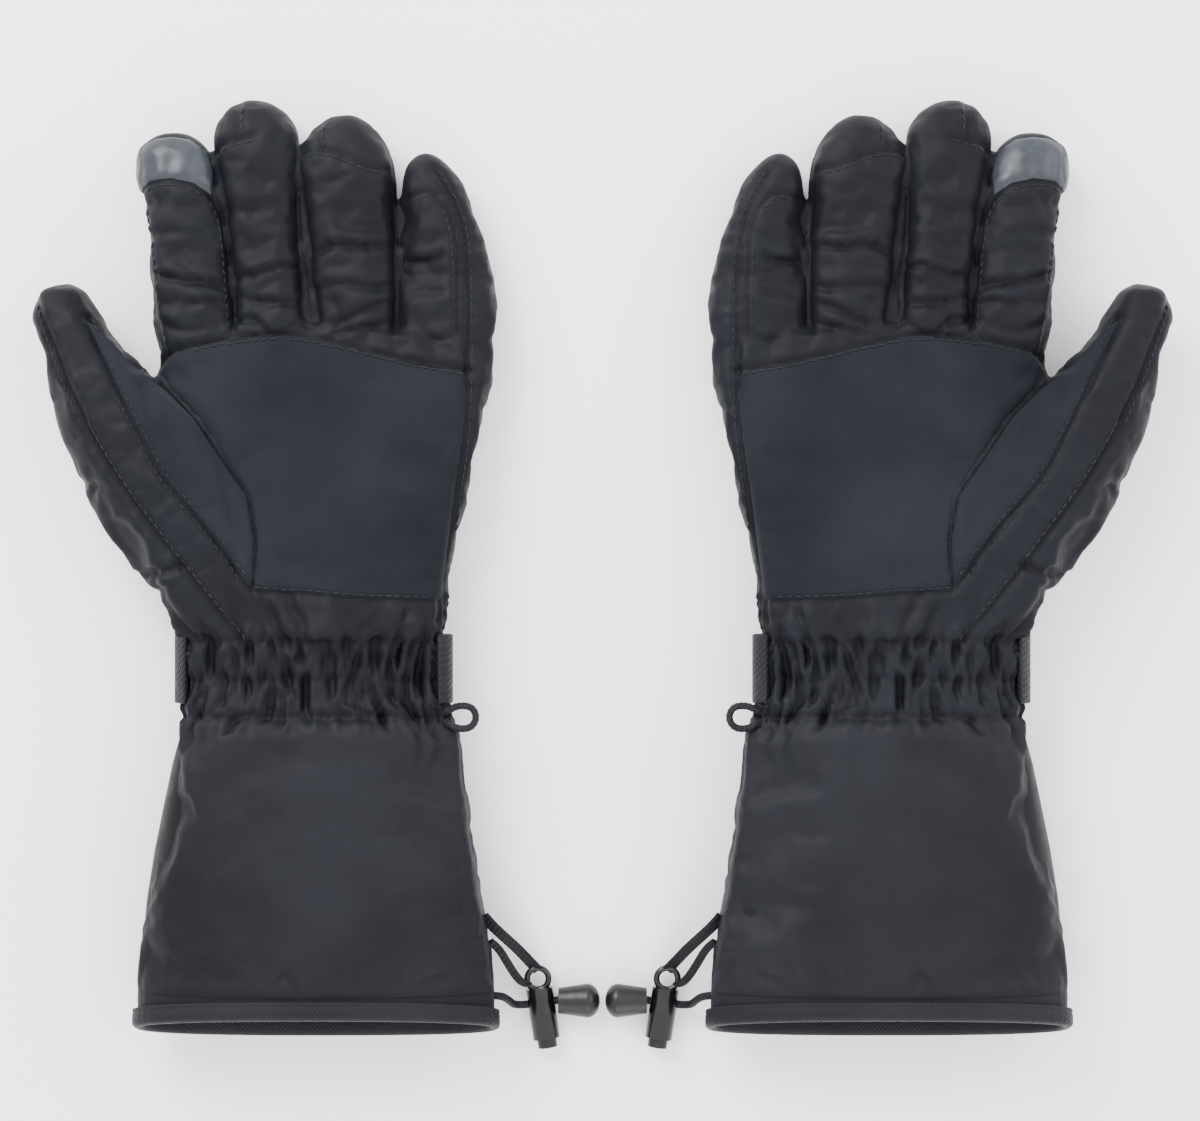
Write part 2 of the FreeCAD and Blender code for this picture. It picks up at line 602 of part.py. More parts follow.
# The drawcord starts where it is sewn inside the hem, runs round the hem's channel, leaves it at
# the little-finger side, drops to the surface, and passes through the lock into the cord end.
hem_place = doc.HemFrame.Placement
channel_inset = size("shell_wall") + size("layer_gap") + size("tunnel_wall") / 2
round_x = size("hem_width") / 2 - channel_inset
round_z = (size("hem_height") / 2 - channel_inset) / math.cos(math.radians(size("hem_tilt")))
along_y = size("binding_width") + size("layer_gap") + size("tunnel_width") / 2
rise = along_y * math.tan(math.radians(size("hem_tilt")))  # keeps the round level with the gauntlet
turns = 36
swell = 1.0
ring_points = [Vector(round_x * swell * math.cos(2 * math.pi * step / turns), along_y,
                      round_z * swell * math.sin(2 * math.pi * step / turns) + rise)
               for step in range(3, turns - 2)]
exit_share = math.sqrt(1 - ((exit_z - rise) / round_z) ** 2)
exit_turn = Vector(round_x * exit_share, along_y, exit_z)
exit_point = Vector(round_x + 4.7, along_y, exit_z - 0.1)
free_points = [
    Vector(-10.2, 6.6, 5.8),
    Vector(-7.9, 9.78, 0.0),
    Vector(5.4, 7.79, 0.0),
    Vector(8.5, 7.33, 0.3),
]
lock_corner = doc.LockFrame.Placement.Base
drawcord_points = [hem_place.multVec(point) for point in ring_points + [exit_turn, exit_point]]
drawcord_points += [lock_corner + Vector(point.x, -point.y, point.z) for point in free_points]
nodes["drawcord"] = cord("drawcord", drawcord_points, size("cord_diameter"))

# The lock's spring is a coil between the bottom of the bore and the plunger
spring_radius = size("lock_diameter") / 2 - size("lock_wall") - size("spring_wire") - 0.4
spring_foot = size("eye_radius") - 0.4 + size("lock_wall") - 0.3 + 0.05 + size("spring_wire") / 2
spring_rise = size("press_travel") + 0.3 - size("spring_wire")
spring_steps = 20
spring_points = []
for step in range(spring_steps + 1):
    angle = 2 * math.pi * size("spring_turns") * step / spring_steps
    spring_points.append(doc.LockFrame.Placement.multVec(
        Vector(spring_radius * math.cos(angle), spring_radius * math.sin(angle),
               spring_foot + spring_rise * step / spring_steps)))
nodes["lock_spring"] = cord("lock_spring", spring_points, size("spring_wire"))

# The hanging loop stands out of the seam between the hand and the gauntlet
palm_x = hem_place.Base.x + size("palm_centre_shift")
seam_corner = Vector(palm_x + size("wrist_width") / 2 + 0.5, size("wrist_seam_y"),
                     size("wrist_centre_z") + 6)
loop_points = [seam_corner + Vector(*point) for point in (
    (-2.2, 2.4, 0), (1.0, 3.9, 0.2), (5.6, 3.5, 0.5), (7.4, -0.3, 0.6), (5.3, -4.0, 0.4),
    (1.6, -4.7, 0.1), (-0.5, -3.1, 0))]
nodes["hang_loop"] = cord("hang_loop", loop_points, size("loop_diameter"))

# Names, the mirrored glove, and the files

for name, item in nodes.items():
    item.Label = f"left_{name}"
    twin = doc.addObject("Part::Mirroring", f"right_{name}")
    twin.Source = item
    twin.Normal = Vector(1, 0, 0)
    twin.Label = f"right_{name}"
doc.recompute()

for item in doc.Objects:
    if "Invalid" in item.State or "Error" in item.State:
        raise RuntimeError(f"{item.Label} failed: {item.State}")
parts = [item for item in doc.Objects if re.match("(left|right)_", item.Label)]
for item in parts:
    shape = item.Shape
    if shape.isNull() or not shape.isValid() or not shape.Solids:
        raise RuntimeError(f"{item.Label} is not a sound solid")
os.makedirs("parts", exist_ok=True)
for item in parts:
    item.Shape.exportStep(f"parts/{item.Label}.step")
print(len(parts), "parts written")
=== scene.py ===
import math

import bmesh
import bpy
import numpy as np
from mathutils import Matrix, Vector, noise
from mathutils.bvhtree import BVHTree


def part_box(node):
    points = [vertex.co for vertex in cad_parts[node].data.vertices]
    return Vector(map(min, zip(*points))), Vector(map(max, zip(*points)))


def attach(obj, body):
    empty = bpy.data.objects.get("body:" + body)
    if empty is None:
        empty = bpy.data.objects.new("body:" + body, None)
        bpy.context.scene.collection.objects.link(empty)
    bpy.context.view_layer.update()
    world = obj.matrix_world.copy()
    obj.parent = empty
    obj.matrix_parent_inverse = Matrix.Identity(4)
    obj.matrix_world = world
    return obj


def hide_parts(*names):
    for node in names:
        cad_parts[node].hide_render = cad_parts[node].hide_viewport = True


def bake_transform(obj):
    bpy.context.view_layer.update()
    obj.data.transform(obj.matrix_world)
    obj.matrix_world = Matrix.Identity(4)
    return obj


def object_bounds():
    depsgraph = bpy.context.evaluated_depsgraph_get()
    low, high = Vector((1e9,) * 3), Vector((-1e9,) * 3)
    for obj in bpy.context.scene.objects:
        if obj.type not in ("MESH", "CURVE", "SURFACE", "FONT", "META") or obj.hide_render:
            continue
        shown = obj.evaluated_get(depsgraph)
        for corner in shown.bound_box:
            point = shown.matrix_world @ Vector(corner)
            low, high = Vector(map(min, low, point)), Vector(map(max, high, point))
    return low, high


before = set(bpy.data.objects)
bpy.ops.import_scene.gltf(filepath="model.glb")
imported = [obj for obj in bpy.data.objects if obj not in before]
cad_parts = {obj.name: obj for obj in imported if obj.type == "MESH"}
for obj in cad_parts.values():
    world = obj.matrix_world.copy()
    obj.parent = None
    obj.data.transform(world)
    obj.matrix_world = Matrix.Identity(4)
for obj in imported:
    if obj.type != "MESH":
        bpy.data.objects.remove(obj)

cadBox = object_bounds()
mm = 0.001
sides = ("left", "right")

# camera, floor and lights

studio = {
    "aim": (-0.9, 4.6), "height": 1020.0, "lens": 85.7, "sensor": 36.0, "nearest": 0.01,
    "floor": 4.0, "floorGap": 0.0004, "floorColour": (0.93, 0.93, 0.93, 1.0), "floorRough": 0.9, "air": 2.4,
    # each light's name, place, size and power
    "lights": (("keyLight", (-0.55, 0.75, 0.85), 0.7, 26.0),
               ("fillLight", (0.9, 0.35, 0.8), 0.9, 9.0),
               ("hemLight", (0.1, -1.0, 0.7), 0.8, 8.0)),
    "lightsAimAt": (0, 0, 0.02),
}


def aimAt(item, target):
    item.rotation_euler = (Vector(target) - item.location).to_track_quat("-Z", "Y").to_euler()


def makeStudio(settings):
    lens = bpy.data.cameras.new("studioCamera")
    lens.lens, lens.sensor_width = settings["lens"], settings["sensor"]
    lens.clip_start = settings["nearest"]
    camera = bpy.data.objects.new("studioCamera", lens)
    bpy.context.collection.objects.link(camera)
    x, y = settings["aim"]
    camera.location = (x * mm, y * mm, settings["height"] * mm)
    bpy.context.scene.camera = camera
    deselectAll()
    bpy.ops.mesh.primitive_plane_add(size=settings["floor"], location=(0, 0,
                                                            cadBox[0][2] - settings["floorGap"]))
    floor = bpy.context.object
    floor.name = "studioFloor"
    paper = bpy.data.materials.new("studioPaper")
    paper.use_nodes = True
    shader = paper.node_tree.nodes["Principled BSDF"]
    shader.inputs["Base Color"].default_value = settings["floorColour"]
    shader.inputs["Roughness"].default_value = settings["floorRough"]
    floor.data.materials.append(paper)
    world = bpy.data.worlds.new("studioAir")
    world.use_nodes = True
    sky = world.node_tree.nodes["Background"]
    sky.inputs["Color"].default_value = (1, 1, 1, 1)
    sky.inputs["Strength"].default_value = settings["air"]
    bpy.context.scene.world = world
    for name, place, size, power in settings["lights"]:
        lamp = bpy.data.lights.new(name, "AREA")
        lamp.size, lamp.energy = size, power
        item = bpy.data.objects.new(name, lamp)
        item.location = place
        aimAt(item, settings["lightsAimAt"])
        bpy.context.collection.objects.link(item)


def deselectAll():
    for item in list(bpy.context.selected_objects):
        item.select_set(False)


makeStudio(studio)
print("studio ready")

# the drawcord's free end at each hem

drawcord = {
    "diameter": 2.8, "length": 36.0, "exit": (-37.6, -148.2, 15.5),
    "route": ((-43.4, -148.2, 15.57), (-36.0, -148.22, 15.48), (-33.2, -150.6, 10.55),
              (-30.9, -153.78, 4.75), (-17.6, -151.79, 4.75), (-14.5, -151.33, 5.05)),
}


def makeDrawcord(side, settings):
    sign = 1 if side == "left" else -1
    curve = bpy.data.curves.new(f"{side}_drawcordEnd", "CURVE")
    curve.dimensions = "3D"
    curve.bevel_depth = 1.0  # one metre times each point's own radius
    curve.bevel_resolution = 5
    curve.resolution_u = 16
    curve.use_fill_caps = True
    line = curve.splines.new("NURBS")
    line.points.add(len(settings["route"]) - 1)
    for point, (x, y, z) in zip(line.points, settings["route"]):
        point.co = (sign * x * mm, y * mm, z * mm, 1)
        point.radius = settings["diameter"] * mm / 2
    line.order_u = 3
    line.use_endpoint_u = True
    line.use_smooth = True
    cord = bpy.data.objects.new(curve.name, curve)
    bpy.context.collection.objects.link(cord)
    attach(cord, f"{side}_hand")
    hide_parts(f"{side}_drawcord")
    x, y, z = settings["exit"]
    return cord


cords = {side: makeDrawcord(side, drawcord) for side in sides}
print("cords ready")

# small helpers for arrays, lines and meshes


def smoothStep(low, high, value):
    t = np.clip((value - low) / (high - low), 0, 1)
    return t * t * (3 - 2 * t)


def noiseField(points, size, seed, stretch=(1, 1, 1)):
    scaled = points / (np.array(stretch, float) * size) + np.array((seed * 7.3, seed * 3.1, seed * 5.7))
    return np.array([noise.noise(Vector(p)) for p in scaled])


def lineField(points, line):
    # signed distance in the plan, the run along the line, and the line's whole length
    line = np.array(line, float)[:, :2]
    best = np.full(len(points), 1e9)
    signed = np.zeros(len(points))
    run = np.zeros(len(points))
    total = 0.0
    for a, b in zip(line[:-1], line[1:]):
        d = b - a
        length = np.hypot(*d)
        d = d / length
        r = points[:, :2] - a
        t = np.clip(r @ d, 0, length)
        gap = r - t[:, None] * d
        distance = np.hypot(gap[:, 0], gap[:, 1])
        side = np.sign(d[0] * r[:, 1] - d[1] * r[:, 0])
        better = distance < best
        best[better] = distance[better]
        signed[better] = (distance * np.where(side == 0, 1, side))[better]
        run[better] = total + t[better]
        total += length
    return signed, run, total


def lengthsAlong(line):
    return np.r_[0, np.cumsum(np.linalg.norm(np.diff(line, axis=0), axis=1))]


def evenly(line, count):
    # the line's points set out again at even distances
    line = np.array(line, float)
    gone = lengthsAlong(line)
    even = np.linspace(0, gone[-1], count)
    return np.stack([np.interp(even, gone, line[:, axis]) for axis in range(line.shape[1])], 1)


def rounded(line):
    # corners cut twice
    line = np.array(line, float)
    for _ in range(2):
        cut = [line[0]]
        for a, b in zip(line[:-1], line[1:]):
            cut += [a * 0.75 + b * 0.25, a * 0.25 + b * 0.75]
        line = np.array(cut + [line[-1]])
    return line


def smoothLine(line, step=2.0):
    line = rounded(line)
    return evenly(line, max(2, int(lengthsAlong(line)[-1] / step) + 1))


def newMesh(name, vertices, faces):
    mesh = bpy.data.meshes.new(name)
    mesh.from_pydata([tuple(v) for v in np.array(vertices) * mm], [],
                     [tuple(int(i) for i in f) for f in faces])
    mesh.validate()
    mesh.polygons.foreach_set("use_smooth", [True] * len(mesh.polygons))
    mesh.update()
    item = bpy.data.objects.new(name, mesh)
    bpy.context.collection.objects.link(item)
    return item


def pointsOf(mesh):
    flat = np.empty(len(mesh.vertices) * 3, np.float32)
    mesh.vertices.foreach_get("co", flat)
    return flat.reshape(-1, 3).astype(float) / mm


def setPoints(mesh, points):
    mesh.vertices.foreach_set("co", (points * mm).astype(np.float32).ravel())
    mesh.update()


def normalsOf(mesh):
    flat = np.empty(len(mesh.vertices) * 3, np.float32)
    mesh.vertex_normals.foreach_get("vector", flat)
    return flat.reshape(-1, 3).astype(float)


def setField(mesh, name, values):
    field = mesh.attributes.get(name) or mesh.attributes.new(name, "FLOAT", "POINT")
    field.data.foreach_set("value", np.asarray(values, np.float32))


def applyAll(item):
    deselectAll()
    bpy.context.view_layer.objects.active = item
    item.select_set(True)
    for modifier in list(item.modifiers):
        bpy.ops.object.modifier_apply(modifier=modifier.name)


def gridFaces(rows, columns, closed=True, ring=False):
    # closed joins the last column to the first, ring joins the last row to the first
    faces = []
    for r in range(rows if ring else rows - 1):
        after = (r + 1) % rows
        for c in range(columns if closed else columns - 1):
            n = (c + 1) % columns
            faces.append((r * columns + c, r * columns + n, after * columns + n, after * columns + c))
    return faces


def recalculate(item):
    shell = bmesh.new()
    shell.from_mesh(item.data)
    bmesh.ops.remove_doubles(shell, verts=shell.verts, dist=1e-6)
    bmesh.ops.recalc_face_normals(shell, faces=shell.faces)
    shell.to_mesh(item.data)
    shell.free()
    item.data.update()


def cappedTube(name, vertices, rows, columns):
    last = (rows - 1) * columns
    ends = [tuple(range(columns))[::-1], tuple(range(last, last + columns))]
    tube = newMesh(name, vertices, gridFaces(rows, columns) + ends)
    recalculate(tube)
    return tube


def giveWall(item, thickness, offset):
    wall = item.modifiers.new("wall", "SOLIDIFY")
    wall.thickness, wall.offset = thickness * mm, offset
    applyAll(item)


def joinAll(items):
    deselectAll()
    for item in items:
        item.select_set(True)
    bpy.context.view_layer.objects.active = items[0]
    bpy.ops.object.join()
    return items[0]


def squaredRound(turn, square):
    # a point of a circle with its sides flattened; 2 gives the plain circle
    c, s = math.cos(turn), math.sin(turn)
    return math.copysign(abs(c) ** (2 / square), c), math.copysign(abs(s) ** (2 / square), s)


# the soft body: hand, fingers, thumb and gauntlet of the left glove
# each row is one section: y, its two edges in x, its middle height and half its thickness

stalls = {
    "index": ((68, -155.0, -127.5, 15, 12.0), (84, -157.0, -127.8, 14, 12.6), (100, -158.2, -129.6, 14, 12.6),
              (116, -159.2, -132.0, 14, 12.4), (131, -160.8, -134.4, 14, 12.2),
              (140, -163.4, -135.8, 14, 12.0),
              (146, -163.7, -137.2, 13.6, 11.2), (150.3, -160.8, -140.6, 13.2, 9.4),
              (152.9, -155.5, -145.5, 13, 5.5)),
    "middle": ((72, -127.5, -100.8, 15, 12.0), (90, -128.4, -102.6, 14, 12.6),
               (105, -130.2, -104.0, 14, 12.8),
               (120, -132.2, -106.0, 14, 12.7), (131, -134.6, -106.6, 14, 12.6),
               (145, -136.5, -106.4, 14, 12.4),
               (155.2, -136.7, -107.2, 13.6, 11.6), (161, -133.4, -111.2, 13.2, 9.4),
               (164.7, -126.6, -117.6, 13, 5.5)),
    "ring": ((72, -101.6, -71.4, 15, 12.0), (86, -102.4, -71.3, 14, 12.8), (98, -103.0, -71.4, 14, 12.9),
             (114, -104.4, -71.6, 14, 12.8), (131, -105.9, -72.8, 14, 12.6), (142, -107.3, -73.8, 14, 12.4),
             (149, -106.4, -75.6, 13.6, 11.4), (155.4, -102.0, -79.6, 13.2, 9.2),
             (159.5, -95.0, -86.6, 13, 5.5)),
    "little": ((66, -70.8, -37.6, 15, 12.0), (82, -71.6, -37.2, 14, 12.4), (99, -71.6, -37.9, 13.6, 12.3),
               (110, -71.0, -39.6, 13.4, 12.2), (120, -70.9, -42.9, 13.2, 12.0),
               (130, -70.8, -46.4, 13, 11.4),
               (137.7, -70.4, -50.2, 12.6, 10.6), (143.4, -68.8, -55.2, 12.2, 8.4),
               (146.9, -65.0, -60.0, 12, 5.0)),
}
palmRows = ((-58, -150.5, -50.5, 23.3, 16.6), (-49.5, -147.2, -54.0, 23.6, 14.6),
            (-40, -146.0, -55.2, 24, 13.2),
            (-31, -146.2, -55.4, 24, 13.4), (-22, -147.5, -54.2, 23.4, 15.0), (-2, -150.0, -52.9, 21.4, 17.6),
            (12, -152.0, -50.0, 20.4, 18.2), (26, -155.0, -46.8, 19.6, 18.2), (44, -157.5, -43.2, 18.6, 17.4),
            (60, -157.6, -39.8, 17.2, 15.8), (72, -157.0, -37.6, 15.6, 14.2), (84, -154.0, -38.6, 14.6, 12.2))
gauntletRows = ((-42, -145.5, -55.5, 23.6, 13.6), (-49.5, -147.6, -51.0, 23.0, 16.2),
                (-56, -149.8, -49.0, 22.7, 17.6),
                (-66, -152.6, -47.6, 22.4, 18.6), (-78, -155.2, -46.2, 22.0, 19.6),
                (-96, -158.8, -44.0, 21.4, 20.4),
                (-114, -161.8, -41.2, 20.8, 20.9), (-132, -163.4, -37.6, 20.7, 21.0),
                (-149, -163.5, -36.7, 20.7, 21.1),
                (-172, -163.5, -36.7, 20.7, 21.1), (-178, -163.5, -36.7, 20.7, 21.1))
# the thumb's sections: outer edge, inner edge, middle height, half thickness
thumbRows = (((-146, -27), (-118, -14), 23.6, 12.0), ((-150.5, -17), (-119, -3), 23.2, 15.6),
             ((-160, -4), (-119.5, 15), 22.8, 18.0), ((-172.6, 11.7), (-124.5, 32.7), 22.6, 19.0),
             ((-181.2, 30), (-136.5, 51.5), 22.8, 18.8), ((-188.2, 46.7), (-151, 62), 23, 18.2),
             ((-192.6, 62), (-162.2, 73), 23.2, 17.4), ((-196.2, 81.7), (-173.6, 84.6), 23, 15.6),
             ((-197.4, 90.5), (-178.6, 92.5), 22.8, 13.6), ((-196.2, 96.4), (-181.0, 97.6), 22.6, 10.8),
             ((-192.8, 98.6), (-184.5, 99.0), 22.4, 6.4))
softBody = {"skin": 1.1, "voxel": 2.3, "pressure": 2.6, "frames": 14, "cap": 2.8, "square": 2.5}

hemMiddle = np.array((-100.1, -158.9, 20.7))
hemTilt = math.tan(math.radians(15.9))
hemSize = (63.4, 21.2)
hemTrim = 0.6


def sectionRing(outer, inner, height, half, around, square, thin):
    outer, inner = np.array(outer, float), np.array(inner, float)
    middle, reach = (outer + inner) / 2, (inner - outer) / 2
    width = np.linalg.norm(reach)
    reach = reach / width * (width - thin)
    ring = []
    for t in np.linspace(0, 2 * math.pi, around, endpoint=False):
        c, s = squaredRound(t, square)
        ring.append((middle[0] + reach[0] * c, middle[1] + reach[1] * c, height + (half - thin) * s))
    return ring


def closedTube(name, sections, around=44):
    thin = softBody["skin"]
    vertices = []
    for outer, inner, height, half in sections:
        vertices += sectionRing(outer, inner, height, half, around, softBody["square"], thin)
    faces = gridFaces(len(sections), around)
    last = (len(sections) - 1) * around
    faces.append(tuple(range(around)))
    faces.append(tuple(range(last, last + around))[::-1])
    tube = newMesh(name, vertices, faces)
    recalculate(tube)
    return tube


def flatRow(row):
    y, low, high, height, half = row
    return (low, y), (high, y), height, half


tubes = [closedTube(f"{name}Form", [flatRow(row) for row in rows]) for name, rows in stalls.items()]
tubes += [closedTube("palmForm", [flatRow(row) for row in palmRows], 72),
          closedTube("gauntletForm", [flatRow(row) for row in gauntletRows], 72),
          closedTube("thumbForm", thumbRows)]
glove = joinAll(tubes)
glove.name = "gloveForm"
remesh = glove.modifiers.new("oneSkin", "REMESH")
remesh.mode = "VOXEL"
remesh.voxel_size = softBody["voxel"] * mm
relax = glove.modifiers.new("relax", "SMOOTH")
relax.factor, relax.iterations = 0.5, 5
applyAll(glove)
print("glove form", len(glove.data.vertices), "vertices")

# seams of the palm side and the back, as lines seen from above

palmSeams = {
    "thumbOuter": ((-194.6, 94.5), (-184.6, 67.0), (-175.6, 47.0), (-164.5, 29.2), (-151.4, 11.7),
                   (-136.1, -8.0), (-121.5, -26.5)),
    "thumbInner": ((-178.9, 88.0), (-168.9, 68.6), (-160.1, 51.1), (-151.4, 33.6), (-133.9, 13.9),
                   (-121.9, -3.6)),
    "thenar": ((-152.5, 65.4), (-140.5, 53.3), (-131.7, 40.1), (-122.2, 27.0), (-119.7, 11.7),
               (-120.8, -4.7)),
    "palmTop": ((-154.9, 73.0), (-150.3, 77.3), (-131.7, 81.7), (-107.7, 83.5), (-90.2, 79.5),
                (-63.9, 73.0), (-46.4, 70.8)),
    "palmFoot": ((-120.6, -5.8), (-105.9, -6.5), (-88.4, -8.2), (-56.9, -9.3)),
    "ulnar": ((-58.8, 140.5), (-50.6, 127.0), (-47.6, 113.0), (-47.0, 97.0), (-46.8, 68.6), (-48.1, 46.7),
              (-50.8, 29.2), (-53.5, 8.0), (-56.4, -16.0)),
    "littlePad": ((-67.4, 131.8), (-60.5, 133.4), (-54.2, 127.5), (-51.2, 117.0), (-50.6, 104.0),
                  (-50.6, 84.0)),
    "indexSide": ((-161.8, 131.0), (-158.6, 114.5), (-156.9, 97.0), (-153.1, 77.3)),
    "indexCap": ((-163.6, 133.0), (-157.4, 136.4), (-150.4, 137.2), (-142.4, 135.4), (-135.4, 130.6),
                 (-132.6, 122.0), (-131.4, 112.0), (-130.3, 97.0), (-128.9, 84.0)),
    "middleSide": ((-134.4, 146.8), (-131.6, 136.4), (-129.0, 114.5), (-127.0, 88.3)),
    "middleTip": ((-127.2, 163.8), (-127.0, 151.0)),
    "middleCross": ((-136.6, 145.2), (-132.6, 149.6), (-127.0, 151.0), (-121.6, 152.2)),
    "middleRight": ((-108.2, 152.0), (-107.6, 131.0), (-106.6, 112.0), (-105.4, 90.0)),
    "ringSide": ((-105.7, 144.0), (-103.2, 133.0), (-101.6, 112.0), (-98.6, 88.0)),
    "ringTip": ((-98.9, 157.6), (-98.4, 147.6)),
    "ringCross": ((-107.0, 144.6), (-103.0, 147.2), (-98.4, 147.6), (-90.2, 145.4), (-82.0, 141.6),
                  (-75.4, 141.0)),
    "ringRight": ((-75.6, 139.0), (-73.6, 124.0), (-73.2, 100.0), (-73.4, 84.0)),
    "hemStitch": ((-164.0, -145.4), (-100.0, -145.8), (-36.5, -145.4)),
    "gauntletSide": ((-50.2, -52.0), (-47.4, -79.3), (-43.2, -107.3), (-39.6, -123.0), (-37.6, -145.0)),
}
backSeams = {
    "knuckles": ((-160.0, 66.0), (-130.0, 62.0), (-100.0, 60.0), (-70.0, 61.0), (-38.0, 66.0)),
    "backLeft": ((-150.0, 76.0), (-140.0, 40.0), (-134.0, 10.0), (-131.0, -16.0)),
    "backRight": ((-56.0, 76.0), (-62.0, 40.0), (-66.0, 10.0), (-68.0, -16.0)),
    "backThumb": ((-188.0, 92.0), (-180.0, 62.0), (-166.0, 34.0), (-148.0, 6.0)),
    "indexBack": ((-157.0, 108.0), (-145.0, 106.0), (-132.0, 108.0)),
    "middleBack": ((-130.0, 114.0), (-118.0, 112.0), (-106.0, 114.0)),
    "ringBack": ((-103.0, 110.0), (-88.0, 108.0), (-73.0, 110.0)),
    "littleBack": ((-70.5, 104.0), (-55.0, 102.0), (-39.0, 104.0)),
    "gauntletBack": ((-158.0, -96.0), (-100.0, -100.0), (-44.0, -96.0)),
    "gauntletMiddle": ((-100.0, -56.0), (-100.0, -98.0)),
}
# lines where the fabric folds: points, depth and width
folds = (
    (((-157.4, 104.8), (-148.0, 102.2), (-139.0, 101.2), (-131.0, 100.6)), 1.9, 1.5),
    (((-146.5, 92.4), (-139.0, 95.4), (-130.4, 94.6)), 1.3, 1.3),
    (((-155.4, 88.0), (-146.0, 84.2), (-136.0, 86.0)), 1.0, 1.6),
    (((-127.4, 103.4), (-118.0, 104.6), (-113.0, 106.9), (-105.6, 107.6)), 1.6, 1.4),
    (((-127.0, 96.6), (-118.0, 94.8), (-105.0, 93.6)), 1.5, 1.4),
    (((-127.2, 87.6), (-120.4, 88.8), (-116.2, 82.6), (-108.0, 84.0)), 1.2, 1.4),
    (((-101.4, 112.0), (-92.0, 114.8), (-84.0, 113.4), (-73.8, 114.6)), 1.7, 1.5),
    (((-101.0, 99.0), (-92.0, 101.4), (-80.0, 98.8), (-73.6, 100.0)), 1.2, 1.6),
    (((-97.0, 86.0), (-88.0, 88.6), (-81.6, 92.6), (-74.0, 94.8)), 1.6, 1.5),
    (((-96.0, 82.2), (-86.0, 85.4), (-76.0, 86.6)), 1.1, 1.3),
    (((-69.6, 108.6), (-61.4, 109.0), (-53.0, 111.8)), 1.7, 1.5),
    (((-70.0, 96.0), (-61.0, 98.6), (-52.0, 97.6)), 0.9, 1.5),
    (((-63.0, 82.0), (-56.0, 81.4), (-52.4, 83.6)), 1.3, 1.4),
    (((-160.0, 116.6), (-148.0, 119.6), (-137.0, 116.6)), 0.8, 2.2),
    (((-134.0, 128.0), (-122.0, 125.4), (-109.0, 128.6)), 0.7, 2.4),
    (((-176.4, 2.4), (-162.0, -1.4), (-152.0, 0.6), (-142.0, 3.6)), 1.7, 1.8),
    (((-172.0, -8.6), (-158.0, -6.4), (-146.0, -4.8)), 1.1, 1.8),
    (((-186.6, 33.4), (-176.0, 29.4), (-168.4, 30.4)), 1.0, 1.8),
    (((-112.0, -3.0), (-104.6, -14.0), (-100.8, -26.0)), 1.3, 1.8),
    (((-116.6, -8.0), (-111.0, -20.0), (-108.6, -30.0)), 1.4, 1.6),
    (((-128.0, -10.0), (-125.0, -22.0), (-124.0, -32.0)), 1.2, 1.8),
    (((-140.0, -12.0), (-136.0, -22.0), (-134.0, -31.0)), 1.1, 1.6),
    (((-66.0, -10.0), (-70.0, -20.0), (-70.6, -30.0)), 1.3, 2.0),
    (((-113.0, -145.0), (-111.0, -139.0), (-108.0, -135.0)), 1.1, 1.5),
    (((-104.0, -145.0), (-106.4, -140.0), (-108.8, -137.0)), 0.9, 1.4),
    (((-66.0, -144.0), (-59.0, -139.0), (-51.0, -137.6)), 1.2, 1.6),
)

finerPalm = {name: smoothLine(line) for name, line in palmSeams.items()}
finerBack = {name: smoothLine(line) for name, line in backSeams.items()}


def topSide(points, normals):
    # 1 on the palm side, 0 on the back
    return smoothStep(-0.05, 0.4, normals[:, 2])


def seamPins(points, normals):
    top = topSide(points, normals)
    pin = np.zeros(len(points))
    for name, line in finerPalm.items():
        signed, _, _ = lineField(points, line)
        pin = np.maximum(pin, np.exp(-(signed / 2.2) ** 2) * top)
    for name, line in finerBack.items():
        signed, _, _ = lineField(points, line)
        pin = np.maximum(pin, np.exp(-(signed / 2.2) ** 2) * smoothStep(-0.05, -0.4, normals[:, 2]))
    wrist = 1 - smoothStep(9, 15, np.abs(points[:, 1] + 36.5))
    pin = np.maximum(pin, 0.6 * wrist)
    pin = np.maximum(pin, smoothStep(-136, -150, points[:, 1]))
    return np.clip(pin, 0, 1)


def inflate(item, settings):
    start = pointsOf(item.data)
    normals = normalsOf(item.data)
    pin = seamPins(start, normals)
    group = item.vertex_groups.new(name="sewn")
    for index, weight in enumerate(pin):
        if weight > 0.02:
            group.add([index], float(weight), "REPLACE")
    cloth = item.modifiers.new("fill", "CLOTH")
    fabric = cloth.settings
    fabric.quality = 5
    fabric.mass = 0.25
    fabric.tension_stiffness = fabric.compression_stiffness = 12
    fabric.shear_stiffness = 6
    fabric.bending_stiffness = 1.2
    fabric.use_pressure = True
    fabric.uniform_pressure_force = settings["pressure"]
    fabric.shrink_min = -0.035
    fabric.effector_weights.gravity = 0
    fabric.vertex_group_mass = "sewn"
    fabric.pin_stiffness = 1.5
    cloth.collision_settings.use_collision = False
    cloth.collision_settings.use_self_collision = False
    scene = bpy.context.scene
    scene.frame_start, scene.frame_end = 1, settings["frames"]
    cloth.point_cache.frame_start, cloth.point_cache.frame_end = 1, settings["frames"]
    for frameNumber in range(1, settings["frames"] + 1):
        scene.frame_set(frameNumber)
    shaped = item.evaluated_get(bpy.context.evaluated_depsgraph_get()).data
    moved = pointsOf(shaped) - start
    item.modifiers.remove(cloth)
    item.vertex_groups.clear()
    scene.frame_set(1)
    far = np.linalg.norm(moved, axis=1)
    print("fill moved points by up to", round(float(far.max()), 2), "mm")
    moved *= np.minimum(1, settings["cap"] / np.maximum(far, 1e-6))[:, None]
    setPoints(item.data, start + moved)


